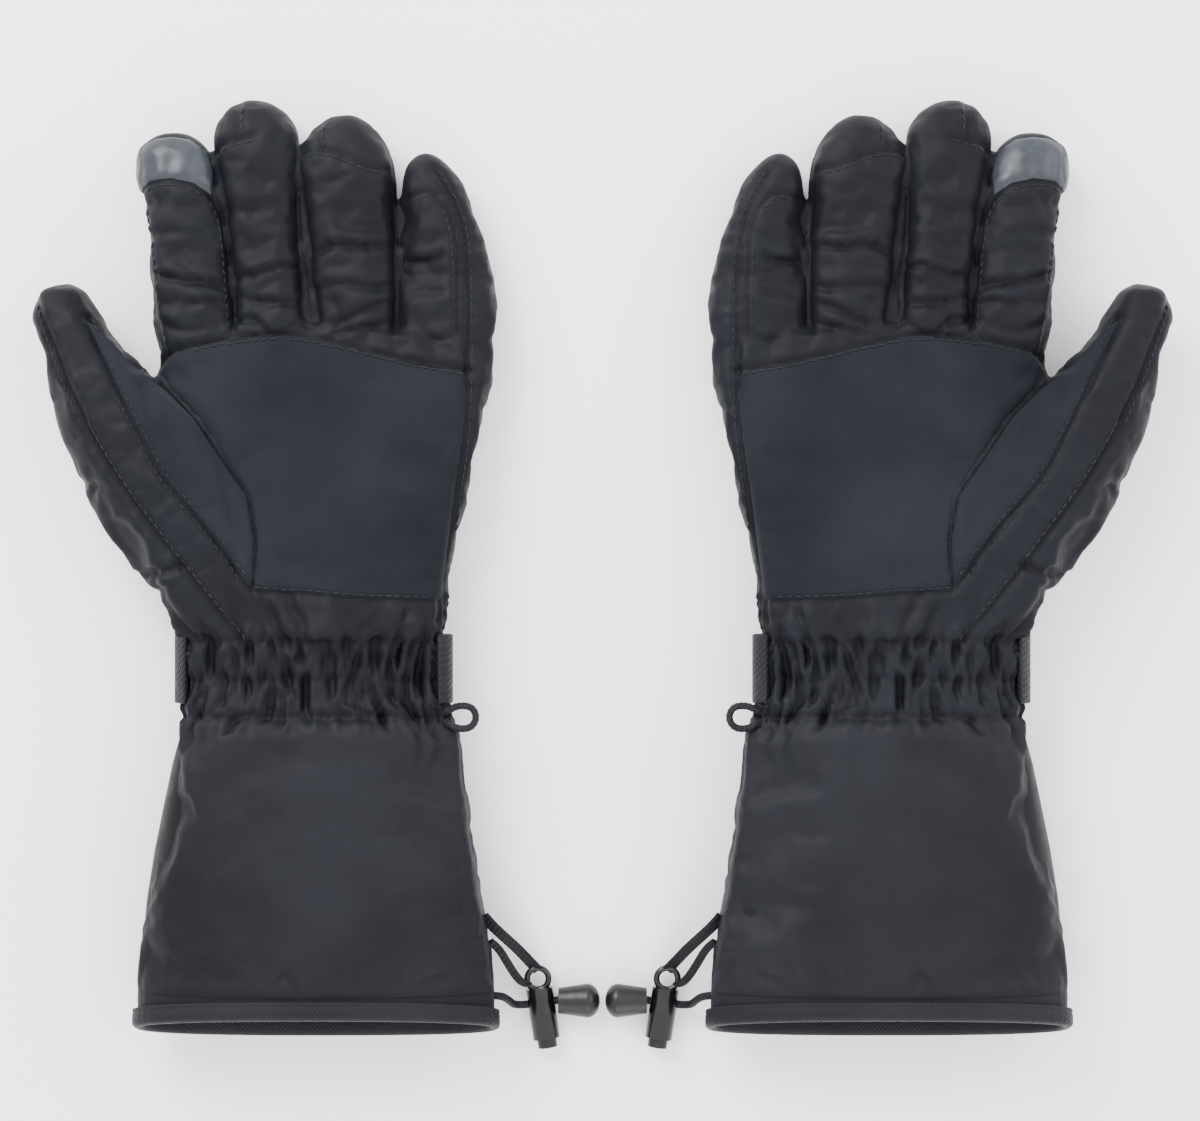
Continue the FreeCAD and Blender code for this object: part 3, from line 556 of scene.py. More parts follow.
inflate(glove, softBody)
finer = glove.modifiers.new("finer", "SUBSURF")
finer.levels = finer.render_levels = 1
applyAll(glove)
print("soft shape ready", len(glove.data.vertices), "vertices")

# Finger gaps as lines x(y), so that neighbours touch but never cross
gaps = {
    ("index", "middle"): ((70, -127.0), (96, -128.4), (112, -130.8), (131, -134.6), (142, -136.2),
                          (150, -136.6), (168, -137)),
    ("middle", "ring"): ((70, -101.2), (90, -102.4), (104, -103.6), (118, -104.9), (131, -106.2),
                         (144, -106.9), (168, -107.2)),
    ("ring", "little"): ((70, -71.0), (90, -71.5), (110, -71.5), (131, -71.8), (140, -72.4), (168, -73)),
}


def gapAt(pair, y):
    table = np.array(gaps[pair], float)
    return np.interp(y, table[:, 0], table[:, 1])


def fingerOf(points):
    x, y = points[:, 0], points[:, 1]
    label = np.zeros(len(points), int)
    label[x > gapAt(("index", "middle"), y)] = 1
    label[x > gapAt(("middle", "ring"), y)] = 2
    label[x > gapAt(("ring", "little"), y)] = 3
    return label


relief = {
    "deepSeams": ("thumbOuter", "thumbInner", "ulnar", "palmTop"), "deep": 1.25, "plain": 0.95,
    "shallow": 0.45,
    "seamWidth": 1.15, "roll": 0.32, "pucker": 0.17, "foldRise": 0.55, "foldFar": 0.3,
    "broad": 0.9, "middling": 0.4, "fine": 0.28, "calm": 0.75,
    "pleats": 2.7, "slack": 2.3, "hollow": 6.8, "thenar": 1.9, "limits": (-4.2, 3.2), "plump": 0.9,
    # rows of stitching across the wrist: y and depth
    "wristRows": ((-23.5, 1.0), (-36.5, 0.8), (-49.5, 1.7)),
}


def shapeGlove(points, normals):
    x, y, z = points.T
    top = topSide(points, normals)
    height = np.zeros(len(points))
    drop = np.zeros(len(points))
    seamAcross = np.full(len(points), 30.0)
    seamNear = np.zeros(len(points))
    crumple = noiseField(points, 3.4, 1)
    for lines, face in ((finerPalm, top), (finerBack, smoothStep(-0.05, -0.4, normals[:, 2]))):
        for name, line in lines.items():
            signed, run, total = lineField(points, line)
            near = np.abs(signed) < 14
            ends = smoothStep(0, 2.5, run) * smoothStep(0, 2.5, total - run)
            ends = np.where(np.abs(signed) > 2.5, ends, 1)
            depth = relief["deep"] if name in relief["deepSeams"] else relief["plain"]
            depth = relief["shallow"] if name == "palmFoot" else depth
            groove = np.exp(-(signed / relief["seamWidth"]) ** 2)
            bulge = np.exp(-((np.abs(signed) - 3.2) / 2.0) ** 2)
            pucker = np.sin(run * 1.25 + 3.5 * crumple) * np.exp(-(np.abs(signed) / 4.2)) * (1 - groove)
            height += face * near * (-depth * groove + relief["roll"] * bulge
                                     + relief["pucker"] * pucker * ends)
            closer = near & (np.exp(-(signed / 3.0) ** 2) * face > seamNear)
            seamAcross[closer] = signed[closer]
            seamNear[closer] = (np.exp(-(signed / 3.0) ** 2) * face)[closer]
    for line, depth, width in folds:
        signed, run, total = lineField(points, smoothLine(line))
        fade = np.exp(-(np.abs(signed) / 9)) * smoothStep(-1, 5, run) * smoothStep(-1, 5, total - run)
        wander = signed + 0.9 * crumple
        height += top * fade * (-depth * np.exp(-(wander / width) ** 2)
                                + relief["foldRise"] * depth
                                * np.exp(-((wander - 2.1 * width) / (1.5 * width)) ** 2)
                                + relief["foldFar"] * depth
                                * np.exp(-((wander + 2.4 * width) / (1.7 * width)) ** 2))
    # soft crumpling everywhere, calmer on the suede and stronger on the fingers
    broad = noiseField(points, 34, 2, (1, 1.5, 1))
    middling = noiseField(points, 13, 3, (1.6, 0.9, 1.2))
    fine = noiseField(points, 6.5, 4, (1.4, 0.8, 1))
    fingers = smoothStep(78, 90, y)
    cuff = smoothStep(-58, -72, y)
    suede = smoothStep(-12, 0, y) * (1 - fingers) * top
    calm = 1 - relief["calm"] * suede
    height += (relief["broad"] * broad * (0.4 + 0.9 * cuff)
               + (relief["middling"] + relief["middling"] * fingers) * middling * calm
               + relief["fine"] * fine * calm * (0.5 + 0.8 * fingers + 0.2 * cuff))
    # the gathered wrist: uneven pleats that run along the arm
    around = np.arctan2((z - 23.5) / 14.5, (x + 100.6) / 46) * 46
    ring = np.stack([around, y * 0.28, np.zeros(len(y))], 1)
    pleat = noiseField(ring, 4.6, 5) + 0.55 * noiseField(ring, 2.6, 6)
    sharp = 1 - 2.4 * np.abs(pleat)
    wrist = smoothStep(-16, -27, y) * smoothStep(-57, -48, y)
    reach = smoothStep(6, -22, y) * smoothStep(-74, -50, y)
    height += relief["pleats"] * wrist * np.clip(sharp, -1.1, 0.9) - 1.0 * wrist
    long = noiseField(np.stack([around, y * 0.12, np.zeros(len(y))], 1), 7.5, 7)
    height += relief["slack"] * reach * (1 - 0.55 * wrist) * long
    for seamY, deep in relief["wristRows"]:
        wavy = y - seamY + 0.9 * crumple
        height -= deep * np.exp(-(wavy / 1.7) ** 2)
    # hollow palm, standing ball of the thumb, flattened hem
    signed, _, _ = lineField(points, finerPalm["thenar"])
    right = smoothStep(-1.5, 4.0, np.where((y > -12) & (y < 70), signed, 20))
    hollow = np.exp(-(((x + 106) / 24) ** 2 + ((y - 40) / 27) ** 2))
    drop += top * (-relief["hollow"] * hollow * right)
    thenar = np.exp(-(np.abs(signed) / 15)) * (signed < 0) * smoothStep(-14, 4, y) * smoothStep(78, 50, y)
    drop += top * relief["thenar"] * thenar
    nearHem = smoothStep(-138, -147, y)
    height *= 1 - 0.8 * nearHem
    height = np.clip(height, *relief["limits"])
    tips = smoothStep(118, 140, y) + smoothStep(84, 97, y) * (x < -172)
    plump = relief["plump"] * fingers + 0.5 * (x < -160) * smoothStep(60, 70, y) + 0.3
    moved = points + normals * (height * (1 - 0.45 * np.clip(tips, 0, 1)) + plump)[:, None]
    moved[:, 2] += drop
    return moved, height, seamAcross, seamNear


points, normals = pointsOf(glove.data), normalsOf(glove.data)
shaped, height, seamAcross, seamNear = shapeGlove(points, normals)
# fingers keep to their own side of each gap
label = fingerOf(points)
between = {"root": 79, "gap": 0.25, "floorGap": 0.5, "floorBlend": 1.5}
beyond = points[:, 1] > between["root"]
for index, pair in enumerate(gaps):
    edge = gapAt(pair, shaped[:, 1])
    left = beyond & (label == index)
    right = beyond & (label == index + 1)
    shaped[left, 0] = np.minimum(shaped[left, 0], edge[left] - between["gap"])
    shaped[right, 0] = np.maximum(shaped[right, 0], edge[right] + between["gap"])
low = cadBox[0][2] / mm + between["floorGap"]  # fabric near the floor settles on it softly
blend = between["floorBlend"]
settled = low + blend * np.exp((shaped[:, 2] - low - blend) / blend)
shaped[:, 2] = np.where(shaped[:, 2] < low + blend, settled, shaped[:, 2])
setPoints(glove.data, shaped)
setField(glove.data, "fold", np.clip(height / 2.0, -1, 1))
setField(glove.data, "seamAcross", seamAcross)
setField(glove.data, "seamNear", seamNear)
# open the gauntlet at its slanted mouth
cutter = bmesh.new()
cutter.from_mesh(glove.data)
planeNormal = Vector((0, -1, hemTilt)).normalized()
planePoint = Vector(hemMiddle * mm) + Vector((0, hemTrim * mm, 0))
bmesh.ops.bisect_plane(cutter, geom=cutter.verts[:] + cutter.edges[:] + cutter.faces[:], dist=1e-7,
                       plane_co=planePoint, plane_no=planeNormal, clear_outer=True)
cutter.to_mesh(glove.data)
cutter.free()
glove.data.update()
skin = BVHTree.FromPolygons([v.co for v in glove.data.vertices], [p.vertices[:] for p in glove.data.polygons])
print("fabric shaped")

# materials


def nodeGroup(name, inputs, outputs):
    group = bpy.data.node_groups.new(name, "ShaderNodeTree")
    for label, kind, value in inputs:
        socket = group.interface.new_socket(name=label, in_out="INPUT", socket_type=kind)
        if value is not None:
            socket.default_value = value
    for label, kind in outputs:
        group.interface.new_socket(name=label, in_out="OUTPUT", socket_type=kind)
    return group, group.nodes.new("NodeGroupInput"), group.nodes.new("NodeGroupOutput")


def addNode(tree, kind, values=(), **settings):
    node = tree.nodes.new(kind)
    for key, value in settings.items():
        setattr(node, key, value)
    for index, value in enumerate(values):
        if value is None:
            continue
        if hasattr(value, "links") or isinstance(value, bpy.types.NodeSocket):
            tree.links.new(value, node.inputs[index])
        else:
            node.inputs[index].default_value = value
    return node


def math2(tree, operation, a, b=None, c=None):
    node = addNode(tree, "ShaderNodeMath", (a, b, c) if c is not None else (a, b), operation=operation)
    return node.outputs[0]


def makeWeaveGroup():
    # crossing threads from bands along two slanted directions, plus slubs
    group, start, end = nodeGroup("threadWeave", (
        ("Vector", "NodeSocketVector", None), ("Thread", "NodeSocketFloat", 0.0004),
        ("Slub", "NodeSocketFloat", 0.4)), (("Height", "NodeSocketFloat"), ("Tone", "NodeSocketFloat")))
    split = addNode(group, "ShaderNodeSeparateXYZ", (start.outputs["Vector"],))
    x, y, z = split.outputs
    across = math2(group, "ADD", x, math2(group, "MULTIPLY", z, 0.8))
    along = math2(group, "ADD", y, math2(group, "MULTIPLY", z, 0.6))
    turn = math2(group, "DIVIDE", math.tau / 2, start.outputs["Thread"])
    wave1 = math2(group, "SINE", math2(group, "MULTIPLY", across, turn))
    wave2 = math2(group, "SINE", math2(group, "MULTIPLY", along, turn))
    weave = math2(group, "MULTIPLY", wave1, wave2)
    slubs = addNode(group, "ShaderNodeTexNoise", (start.outputs["Vector"],))
    slubs.inputs["Scale"].default_value = 900
    slubs.inputs["Detail"].default_value = 2
    raised = math2(group, "MULTIPLY_ADD", slubs.outputs["Fac"], start.outputs["Slub"], weave)
    group.links.new(raised, end.inputs["Height"])
    group.links.new(math2(group, "MULTIPLY_ADD", weave, 0.5, 0.5), end.inputs["Tone"])
    return group


def makeMottleGroup():
    # broad and middling clouds of tone
    group, start, end = nodeGroup("clothClouds", (
        ("Vector", "NodeSocketVector", None), ("Broad", "NodeSocketFloat", 14.0),
        ("Fine", "NodeSocketFloat", 160.0)), (("Clouds", "NodeSocketFloat"), ("Specks", "NodeSocketFloat")))
    broad = addNode(group, "ShaderNodeTexNoise", (start.outputs["Vector"],))
    group.links.new(start.outputs["Broad"], broad.inputs["Scale"])
    broad.inputs["Detail"].default_value = 3
    fine = addNode(group, "ShaderNodeTexNoise", (start.outputs["Vector"],))
    group.links.new(start.outputs["Fine"], fine.inputs["Scale"])
    fine.inputs["Detail"].default_value = 4
    spread = addNode(group, "ShaderNodeMapRange", (broad.outputs["Fac"], 0.35, 0.65, 0.0, 1.0))
    specks = addNode(group, "ShaderNodeMapRange", (fine.outputs["Fac"], 0.35, 0.7, 0.0, 1.0))
    group.links.new(spread.outputs[0], end.inputs["Clouds"])
    group.links.new(specks.outputs[0], end.inputs["Specks"])
    return group


def makeSeamAndCreaseShadeGroup():
    # a dark line in each seam, painted shade in the sunken fold creases, and worn lighter ridges beside the
    # seams and on folds
    group, start, end = nodeGroup("seamCreaseShadeAndWear", (
        ("Across", "NodeSocketFloat", 30.0), ("Near", "NodeSocketFloat", 0.0),
        ("Fold", "NodeSocketFloat", 0.0),
        ("Line", "NodeSocketFloat", 0.45)), (("SeamAndCreaseShade", "NodeSocketFloat"), ("Worn", "NodeSocketFloat")))
    gap = math2(group, "ABSOLUTE", start.outputs["Across"])
    line = addNode(group, "ShaderNodeMapRange", (gap, start.outputs["Line"], 0.0, 0.0, 1.0))
    near = addNode(group, "ShaderNodeMapRange", (start.outputs["Near"], 0.3, 0.7, 0.0, 1.0))
    seam = math2(group, "MULTIPLY", line.outputs[0], near.outputs[0])
    # painted shade: darker where the fabric sinks in, at creases, grooves and pleats
    deep = addNode(group, "ShaderNodeMapRange", (start.outputs["Fold"], 0.0, -0.8, 0.0, 0.8))
    dark = math2(group, "MAXIMUM", seam, deep.outputs[0])
    worn = addNode(group, "ShaderNodeMapRange", (start.outputs["Fold"], 0.15, 0.9, 0.0, 1.0))
    group.links.new(dark, end.inputs["SeamAndCreaseShade"])
    group.links.new(worn.outputs[0], end.inputs["Worn"])
    return group


weaveGroup, mottleGroup, seamAndCreaseShadeGroup = makeWeaveGroup(), makeMottleGroup(), makeSeamAndCreaseShadeGroup()

clothFinishes = {
    "shellNylon": dict(dark=(0.0019, 0.0021, 0.0034), light=(0.0046, 0.0050, 0.0078),
                       worn=(0.013, 0.014, 0.019),
                       rough=0.55, sheen=0.012, gloss=0.10, thread=0.00042, bump=0.16, grain=170.0,
                       broad=13.0, fields=True),
    "cuffNylon": dict(dark=(0.0036, 0.0038, 0.0058), light=(0.0075, 0.0078, 0.0108),
                      worn=(0.014, 0.015, 0.02),
                      rough=0.55, sheen=0.015, gloss=0.10, thread=0.00042, bump=0.16, grain=170.0,
                      broad=16.0, fields=True),
    "palmSuede": dict(dark=(0.0062, 0.0066, 0.0092), light=(0.0108, 0.0114, 0.0152),
                      worn=(0.022, 0.0235, 0.031),
                      rough=0.86, sheen=0.03, gloss=0.05, thread=0.00030, bump=0.12, grain=900.0, broad=20.0),
    "tipCoating": dict(dark=(0.013, 0.016, 0.022), light=(0.024, 0.028, 0.036), worn=(0.07, 0.075, 0.09),
                       rough=0.38, sheen=0.01, gloss=0.32, thread=0.00022, bump=0.05, grain=400.0,
                       broad=40.0),
    "hemTape": dict(dark=(0.0026, 0.0028, 0.0042), light=(0.0056, 0.006, 0.0086), worn=(0.016, 0.017, 0.022),
                    rough=0.55, sheen=0.015, gloss=0.14, thread=0.0008, bump=0.30, grain=300.0, broad=30.0),
    "innerTaffeta": dict(dark=(0.0014, 0.0015, 0.0021), light=(0.0032, 0.0034, 0.0048),
                         worn=(0.008, 0.009, 0.012),
                         rough=0.5, sheen=0.012, gloss=0.12, thread=0.00030, bump=0.12, grain=220.0,
                         broad=18.0),
    "strapWebbing": dict(dark=(0.003, 0.0033, 0.0045), light=(0.007, 0.0075, 0.01),
                         worn=(0.018, 0.019, 0.024),
                         rough=0.5, sheen=0.015, gloss=0.14, thread=0.0011, bump=0.5, grain=260.0,
                         broad=40.0),
    "seamThread": dict(dark=(0.006, 0.0065, 0.009), light=(0.015, 0.016, 0.021), worn=(0.03, 0.03, 0.036),
                       rough=0.45, sheen=0.01, gloss=0.2, thread=0.0003, bump=0.4, grain=1500.0, broad=90.0),
}


def startMaterial(name, broad, grain):
    material = bpy.data.materials.new(name)
    material.use_nodes = True
    tree = material.node_tree
    place = addNode(tree, "ShaderNodeTexCoord").outputs["Object"]
    clouds = addNode(tree, "ShaderNodeGroup", (place, broad, grain), node_tree=mottleGroup)
    return material, tree, tree.nodes["Principled BSDF"], place, clouds


def blendColours(tree, first, second, share):
    # each colour is a socket or three plain numbers
    mix = addNode(tree, "ShaderNodeMix", data_type="RGBA")
    tree.links.new(share, mix.inputs[0])
    for index, colour in ((6, first), (7, second)):
        if isinstance(colour, bpy.types.NodeSocket):
            tree.links.new(colour, mix.inputs[index])
        else:
            mix.inputs[index].default_value = (*colour, 1)
    return mix.outputs[2]


def finishSurface(tree, shader, specks, rough, height, bumpValues):
    spread = addNode(tree, "ShaderNodeMapRange", (specks, 0.0, 1.0, *rough))
    tree.links.new(spread.outputs[0], shader.inputs["Roughness"])
    bump = addNode(tree, "ShaderNodeBump", bumpValues)
    tree.links.new(height, bump.inputs["Height"])
    tree.links.new(bump.outputs["Normal"], shader.inputs["Normal"])


clothShares = {"specks": 0.10, "weave": 0.35, "worn": 0.22, "seam": 0.85,
               # near-black colour for the seam lines, which are dark joints, and for the painted shade in
               # fold creases
               "seamAndCreaseShadeColour": (0.0006, 0.0007, 0.001),
               "nap": 0.9, "roughSpread": 0.06, "bumpDepth": 0.0003, "sheenTint": (0.75, 0.8, 1.0, 1)}


def clothMaterial(name, look):
    material, tree, shader, place, clouds = startMaterial(name, look["broad"], look["grain"])
    weave = addNode(tree, "ShaderNodeGroup", (place, look["thread"]), node_tree=weaveGroup)
    specks = clouds.outputs["Specks"]
    layers = [(look["worn"], specks, clothShares["specks"]), (look["light"], weave.outputs["Tone"],
                                                            clothShares["weave"])]
    if look.get("fields"):
        seam = addNode(tree, "ShaderNodeGroup", node_tree=seamAndCreaseShadeGroup)
        for socket, field in (("Across", "seamAcross"), ("Near", "seamNear"), ("Fold", "fold")):
            source = addNode(tree, "ShaderNodeAttribute", attribute_name=field)
            tree.links.new(source.outputs["Fac"], seam.inputs[socket])
        # worn lighter ridges, then the near-black seam lines (dark joints) together with the painted crease
        # shade
        layers += [(look["worn"], seam.outputs["Worn"], clothShares["worn"]),
                   (clothShares["seamAndCreaseShadeColour"], seam.outputs["SeamAndCreaseShade"], clothShares["seam"])]
    colour = blendColours(tree, look["dark"], look["light"], clouds.outputs["Clouds"])
    for tint, mask, share in layers:
        colour = blendColours(tree, colour, tint, math2(tree, "MULTIPLY", mask, share))
    tree.links.new(colour, shader.inputs["Base Color"])
    shader.inputs["Sheen Weight"].default_value = look["sheen"]
    shader.inputs["Sheen Roughness"].default_value = 0.5
    shader.inputs["Sheen Tint"].default_value = clothShares["sheenTint"]
    shader.inputs["Specular IOR Level"].default_value = look["gloss"]
    spread = clothShares["roughSpread"]
    nap = math2(tree, "MULTIPLY_ADD", specks, clothShares["nap"], weave.outputs["Height"])
    finishSurface(tree, shader, specks, (look["rough"] - spread, look["rough"] + spread), nap,
                  (look["bump"], clothShares["bumpDepth"]))
    return material


hardFinishes = {
    "glossyPlastic": dict(colour=(0.003, 0.0032, 0.004), mark=(0.012, 0.012, 0.014), rough=0.16, coat=0.15,
                          metal=0.0, grain=260.0, bump=0.03),
    "satinPlastic": dict(colour=(0.004, 0.0042, 0.005), mark=(0.014, 0.014, 0.016), rough=0.36, coat=0.0,
                         metal=0.0, grain=420.0, bump=0.06),
    "buckleMoulding": dict(colour=(0.004, 0.0042, 0.005), mark=(0.014, 0.014, 0.016), rough=0.42, coat=0.0,
                           metal=0.0, grain=600.0, bump=0.12),
    "springWire": dict(colour=(0.42, 0.42, 0.43), mark=(0.2, 0.2, 0.2), rough=0.28, coat=0.0, metal=1.0,
                       grain=900.0, bump=0.04),
}


def hardMaterial(name, look):
    material, tree, shader, _, clouds = startMaterial(name, 120.0, look["grain"])
    specks = clouds.outputs["Specks"]
    scuff = math2(tree, "MULTIPLY", math2(tree, "MULTIPLY", clouds.outputs["Clouds"], specks), 0.35)
    tree.links.new(blendColours(tree, look["colour"], look["mark"], scuff), shader.inputs["Base Color"])
    shader.inputs["Metallic"].default_value = look["metal"]
    shader.inputs["Specular IOR Level"].default_value = 0.3
    shader.inputs["Coat Weight"].default_value = look["coat"]
    finishSurface(tree, shader, specks, (look["rough"] - 0.04, look["rough"] + 0.08), specks,
                  (look["bump"], 0.0002))
    return material


materials = {name: clothMaterial(name, look) for name, look in clothFinishes.items()}
materials.update({name: hardMaterial(name, look) for name, look in hardFinishes.items()})
materials["cordBraid"] = clothMaterial("cordBraid", dict(clothFinishes["strapWebbing"], thread=0.0009,
                                                         bump=0.6))
print("materials ready")

# pieces for both gloves

# two points on each finger and on the thumb: fabric and stitches past the first, towards the second, are
# parted off as that piece
bends = {
    "index": ((-143.4, 78.0, 15.0), (-145.6, 94.0, 15.0)),
    "middle": ((-114.8, 84.0, 15.0), (-116.2, 100.0, 15.0)),
    "ring": ((-85.6, 83.6, 15.0), (-86.6, 99.6, 15.0)),
    "little": ((-53.8, 78.0, 15.0), (-55.4, 94.0, 15.0)),
    "thumb": ((-172.6, 56.0, 22.0), (-182.0, 68.8, 22.0)),
}


def twinOf(piece):
    twin = piece.copy()
    twin.data = piece.data.copy()
    twin.name = piece.name.replace("left_", "right_")
    twin.data.name = twin.name
    twin.data.transform(Matrix.Scale(-1, 4, (1, 0, 0)))
    twin.data.flip_normals()
    bpy.context.collection.objects.link(twin)
    return twin


def bothSides(piece, material, body="hand", nodes=(), bend=None, normals=None):
    piece.data.materials.clear()
    piece.data.materials.append(materials[material])
    pair = {"left": piece, "right": twinOf(piece)}
    for side, item in pair.items():
        if normals is not None:
            turned = normals * ((1, 1, 1) if side == "left" else (-1, 1, 1))
            item.data.normals_split_custom_set_from_vertices([tuple(n) for n in turned])
        if bend:
            start, end = [np.array(p) * mm for p in bends[bend]]
            if side == "right":
                start, end = start * (-1, 1, 1), end * (-1, 1, 1)
            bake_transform(item)
        else:
            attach(item, f"{side}_{body}")
        if nodes:
            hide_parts(*[f"{side}_{node}" for node in nodes])
    return pair


def pastLine(points, bend):
    start, end = [np.array(p, float)[:2] for p in bends[bend]]
    d = (end - start) / np.linalg.norm(end - start)
    return (points[:, :2] - start) @ d


# the thumb is what lies past its bend and left of the crotch line
parting = {"fingersFrom": (-170, 70), "crotch": (-157.6, 68), "lean": 0.3, "thumbTop": 104, "cuffSeam": -49.5}
flat = np.empty(len(glove.data.polygons) * 3, np.float32)
glove.data.polygons.foreach_get("center", flat)
centres = flat.reshape(-1, 3).astype(float) / mm
kind = np.full(len(centres), "hand", dtype="U8")
finger = fingerOf(centres)
for index, name in enumerate(stalls):
    past = (finger == index) & (pastLine(centres, name) > 0)
    above = (centres[:, 0] > parting["fingersFrom"][0]) & (centres[:, 1] > parting["fingersFrom"][1])
    kind[past & above] = name
crotch = parting["crotch"][0] - parting["lean"] * (centres[:, 1] - parting["crotch"][1])
beside = (centres[:, 0] < crotch) & (centres[:, 1] < parting["thumbTop"])
kind[(pastLine(centres, "thumb") > 0) & beside] = "thumb"
kind[(kind == "hand") & (centres[:, 1] < parting["cuffSeam"])] = "gauntlet"

gloveNormals = normalsOf(glove.data)
glovePoints = pointsOf(glove.data)
allFaces = [tuple(p.vertices) for p in glove.data.polygons]
fields = {}
for field in ("fold", "seamAcross", "seamNear"):
    values = np.empty(len(glove.data.vertices), np.float32)
    glove.data.attributes[field].data.foreach_get("value", values)
    fields[field] = values

shellNodes = {"hand": ("hand_shell", "hand_liner", "wrist_elastic"), "gauntlet": ("gauntlet_shell",)}
for name in (*stalls, "thumb"):
    shellNodes[name] = (f"{name}_shell", f"{name}_liner")
for name, nodes in shellNodes.items():
    chosen = np.where(kind == name)[0]
    used = sorted({v for f in chosen for v in allFaces[f]})
    new = {old: index for index, old in enumerate(used)}
    piece = newMesh(f"left_{name}Fabric", glovePoints[used], [[new[v] for v in allFaces[f]] for f in chosen])
    for field, values in fields.items():
        setField(piece.data, field, values[used])
    bothSides(piece, "cuffNylon" if name == "gauntlet" else "shellNylon", nodes=nodes,
              bend=name if name in bends else None, normals=gloveNormals[used])
bpy.data.objects.remove(glove)
print("fabric pieces ready")

# suede patches and the coated tip, laid on the fabric


def coons(bottom, top, left, right, columns, rows):
    b, t = evenly(bottom, columns), evenly(top, columns)
    l, r = evenly(left, rows), evenly(right, rows)
    u = np.linspace(0, 1, columns)[None, :, None]
    v = np.linspace(0, 1, rows)[:, None, None]
    return ((1 - v) * b[None] + v * t[None] + (1 - u) * l[:, None] + u * r[:, None]
            - ((1 - u) * (1 - v) * b[0] + u * (1 - v) * b[-1] + (1 - u) * v * t[0] + u * v * t[-1]))


def lowerOnto(x, y, lift):
    hit, normal, _, _ = skin.ray_cast(Vector((x * mm, y * mm, 0.2)), Vector((0, 0, -1)))
    if hit is None:
        hit, normal, _, _ = skin.find_nearest(Vector((x * mm, y * mm, 0.014)))
    return (np.array(hit) / mm + np.array(normal) * lift), np.array(normal)


patches = {
    "palmPatch": dict(bottom=((-120.2, -5.6), (-105.9, -6.5), (-88.4, -8.2), (-56.2, -9.3)),
                      top=((-153.6, 72.6), (-150.3, 77.0), (-131.7, 81.4), (-107.7, 83.2), (-90.2, 79.2),
                           (-63.9, 72.7), (-47.6, 70.6)),
                      left=((-120.2, -5.6), (-119.2, 11.7), (-121.4, 27.0), (-130.8, 40.6), (-139.8, 53.8),
                            (-151.2, 65.0), (-153.6, 72.6)),
                      right=((-56.2, -9.3), (-53.9, 8.0), (-51.2, 29.2), (-48.6, 46.7), (-47.3, 62.0),
                             (-47.6, 70.6)),
                      size=(112, 96), lift=0.42, material="palmSuede", slot="synthetic_suede",
                      node="palm_patch", bend=None),
    "thumbPatch": dict(bottom=((-122.1, -4.0), (-121.4, -4.6), (-120.7, -4.6)),
                       top=((-178.6, 87.6), (-176.2, 86.6), (-173.6, 83.4)),
                       left=((-122.1, -4.0), (-134.0, 13.6), (-151.4, 33.3), (-160.2, 50.8), (-168.8, 68.3),
                             (-178.6, 87.6)),
                       right=((-120.7, -4.6), (-120.0, 11.7), (-122.6, 27.0), (-132.2, 40.4),
                              (-141.2, 53.6), (-152.0, 63.6), (-160.6, 70.0), (-166.4, 75.4),
                              (-173.6, 83.4)),
                       size=(40, 120), lift=0.42, material="palmSuede", slot="synthetic_suede",
                       node="thumb_patch", bend="thumb"),
    "indexCap": dict(bottom=((-163.2, 133.2), (-157.4, 136.5), (-150.4, 137.3), (-142.4, 135.6),
                             (-136.4, 131.6)),
                     top=((-160.4, 149.8), (-155.6, 152.0), (-150.2, 152.6), (-144.8, 151.8),
                          (-141.2, 149.4)),
                     left=((-163.2, 133.2), (-164.2, 139.0), (-163.8, 145.4), (-160.4, 149.8)),
                     right=((-136.4, 131.6), (-136.0, 139.0), (-137.4, 145.4), (-141.2, 149.4)),
                     size=(60, 44), lift=0.45, material="tipCoating", slot="slick_cap",
                     node="index_tip_cap", bend="index"),
}


def layPatch(name, settings):
    columns, rows = settings["size"]
    plan = coons(settings["bottom"], settings["top"], settings["left"], settings["right"], columns, rows)
    corner = np.minimum(np.arange(columns)[None, :], columns - 1 - np.arange(columns)[None, :])
    corner = np.minimum(corner, np.minimum(np.arange(rows)[:, None], rows - 1 - np.arange(rows)[:, None]))
    vertices = []
    for r in range(rows):
        for c in range(columns):
            lift = settings["lift"] * (-0.9, 0.75, 1.0)[min(int(corner[r, c]), 2)]
            point, _ = lowerOnto(*plan[r, c], lift)
            vertices.append(point)
    surface = np.array(vertices).reshape(rows, columns, 3)
    for _ in range(2):  # calm the height so that the sheet spans small dents
        inner = surface[1:-1, 1:-1, 2]
        surface[1:-1, 1:-1, 2] = 0.4 * inner + 0.15 * (surface[:-2, 1:-1, 2] + surface[2:, 1:-1, 2]
                                                       + surface[1:-1, :-2, 2] + surface[1:-1, 2:, 2])
    faces = gridFaces(rows, columns, closed=False)
    piece = newMesh(f"left_{name}", surface.reshape(-1, 3), faces)
    if piece.data.polygons[len(faces) // 2].normal.z < 0:
        piece.data.flip_normals()
    giveWall(piece, 0.5, -1)
    bothSides(piece, settings["material"], nodes=(settings["node"],), bend=settings["bend"])


for name, settings in patches.items():
    layPatch(name, settings)
print("patches ready")

# stitches: one small thread bar, copied along each sewn line

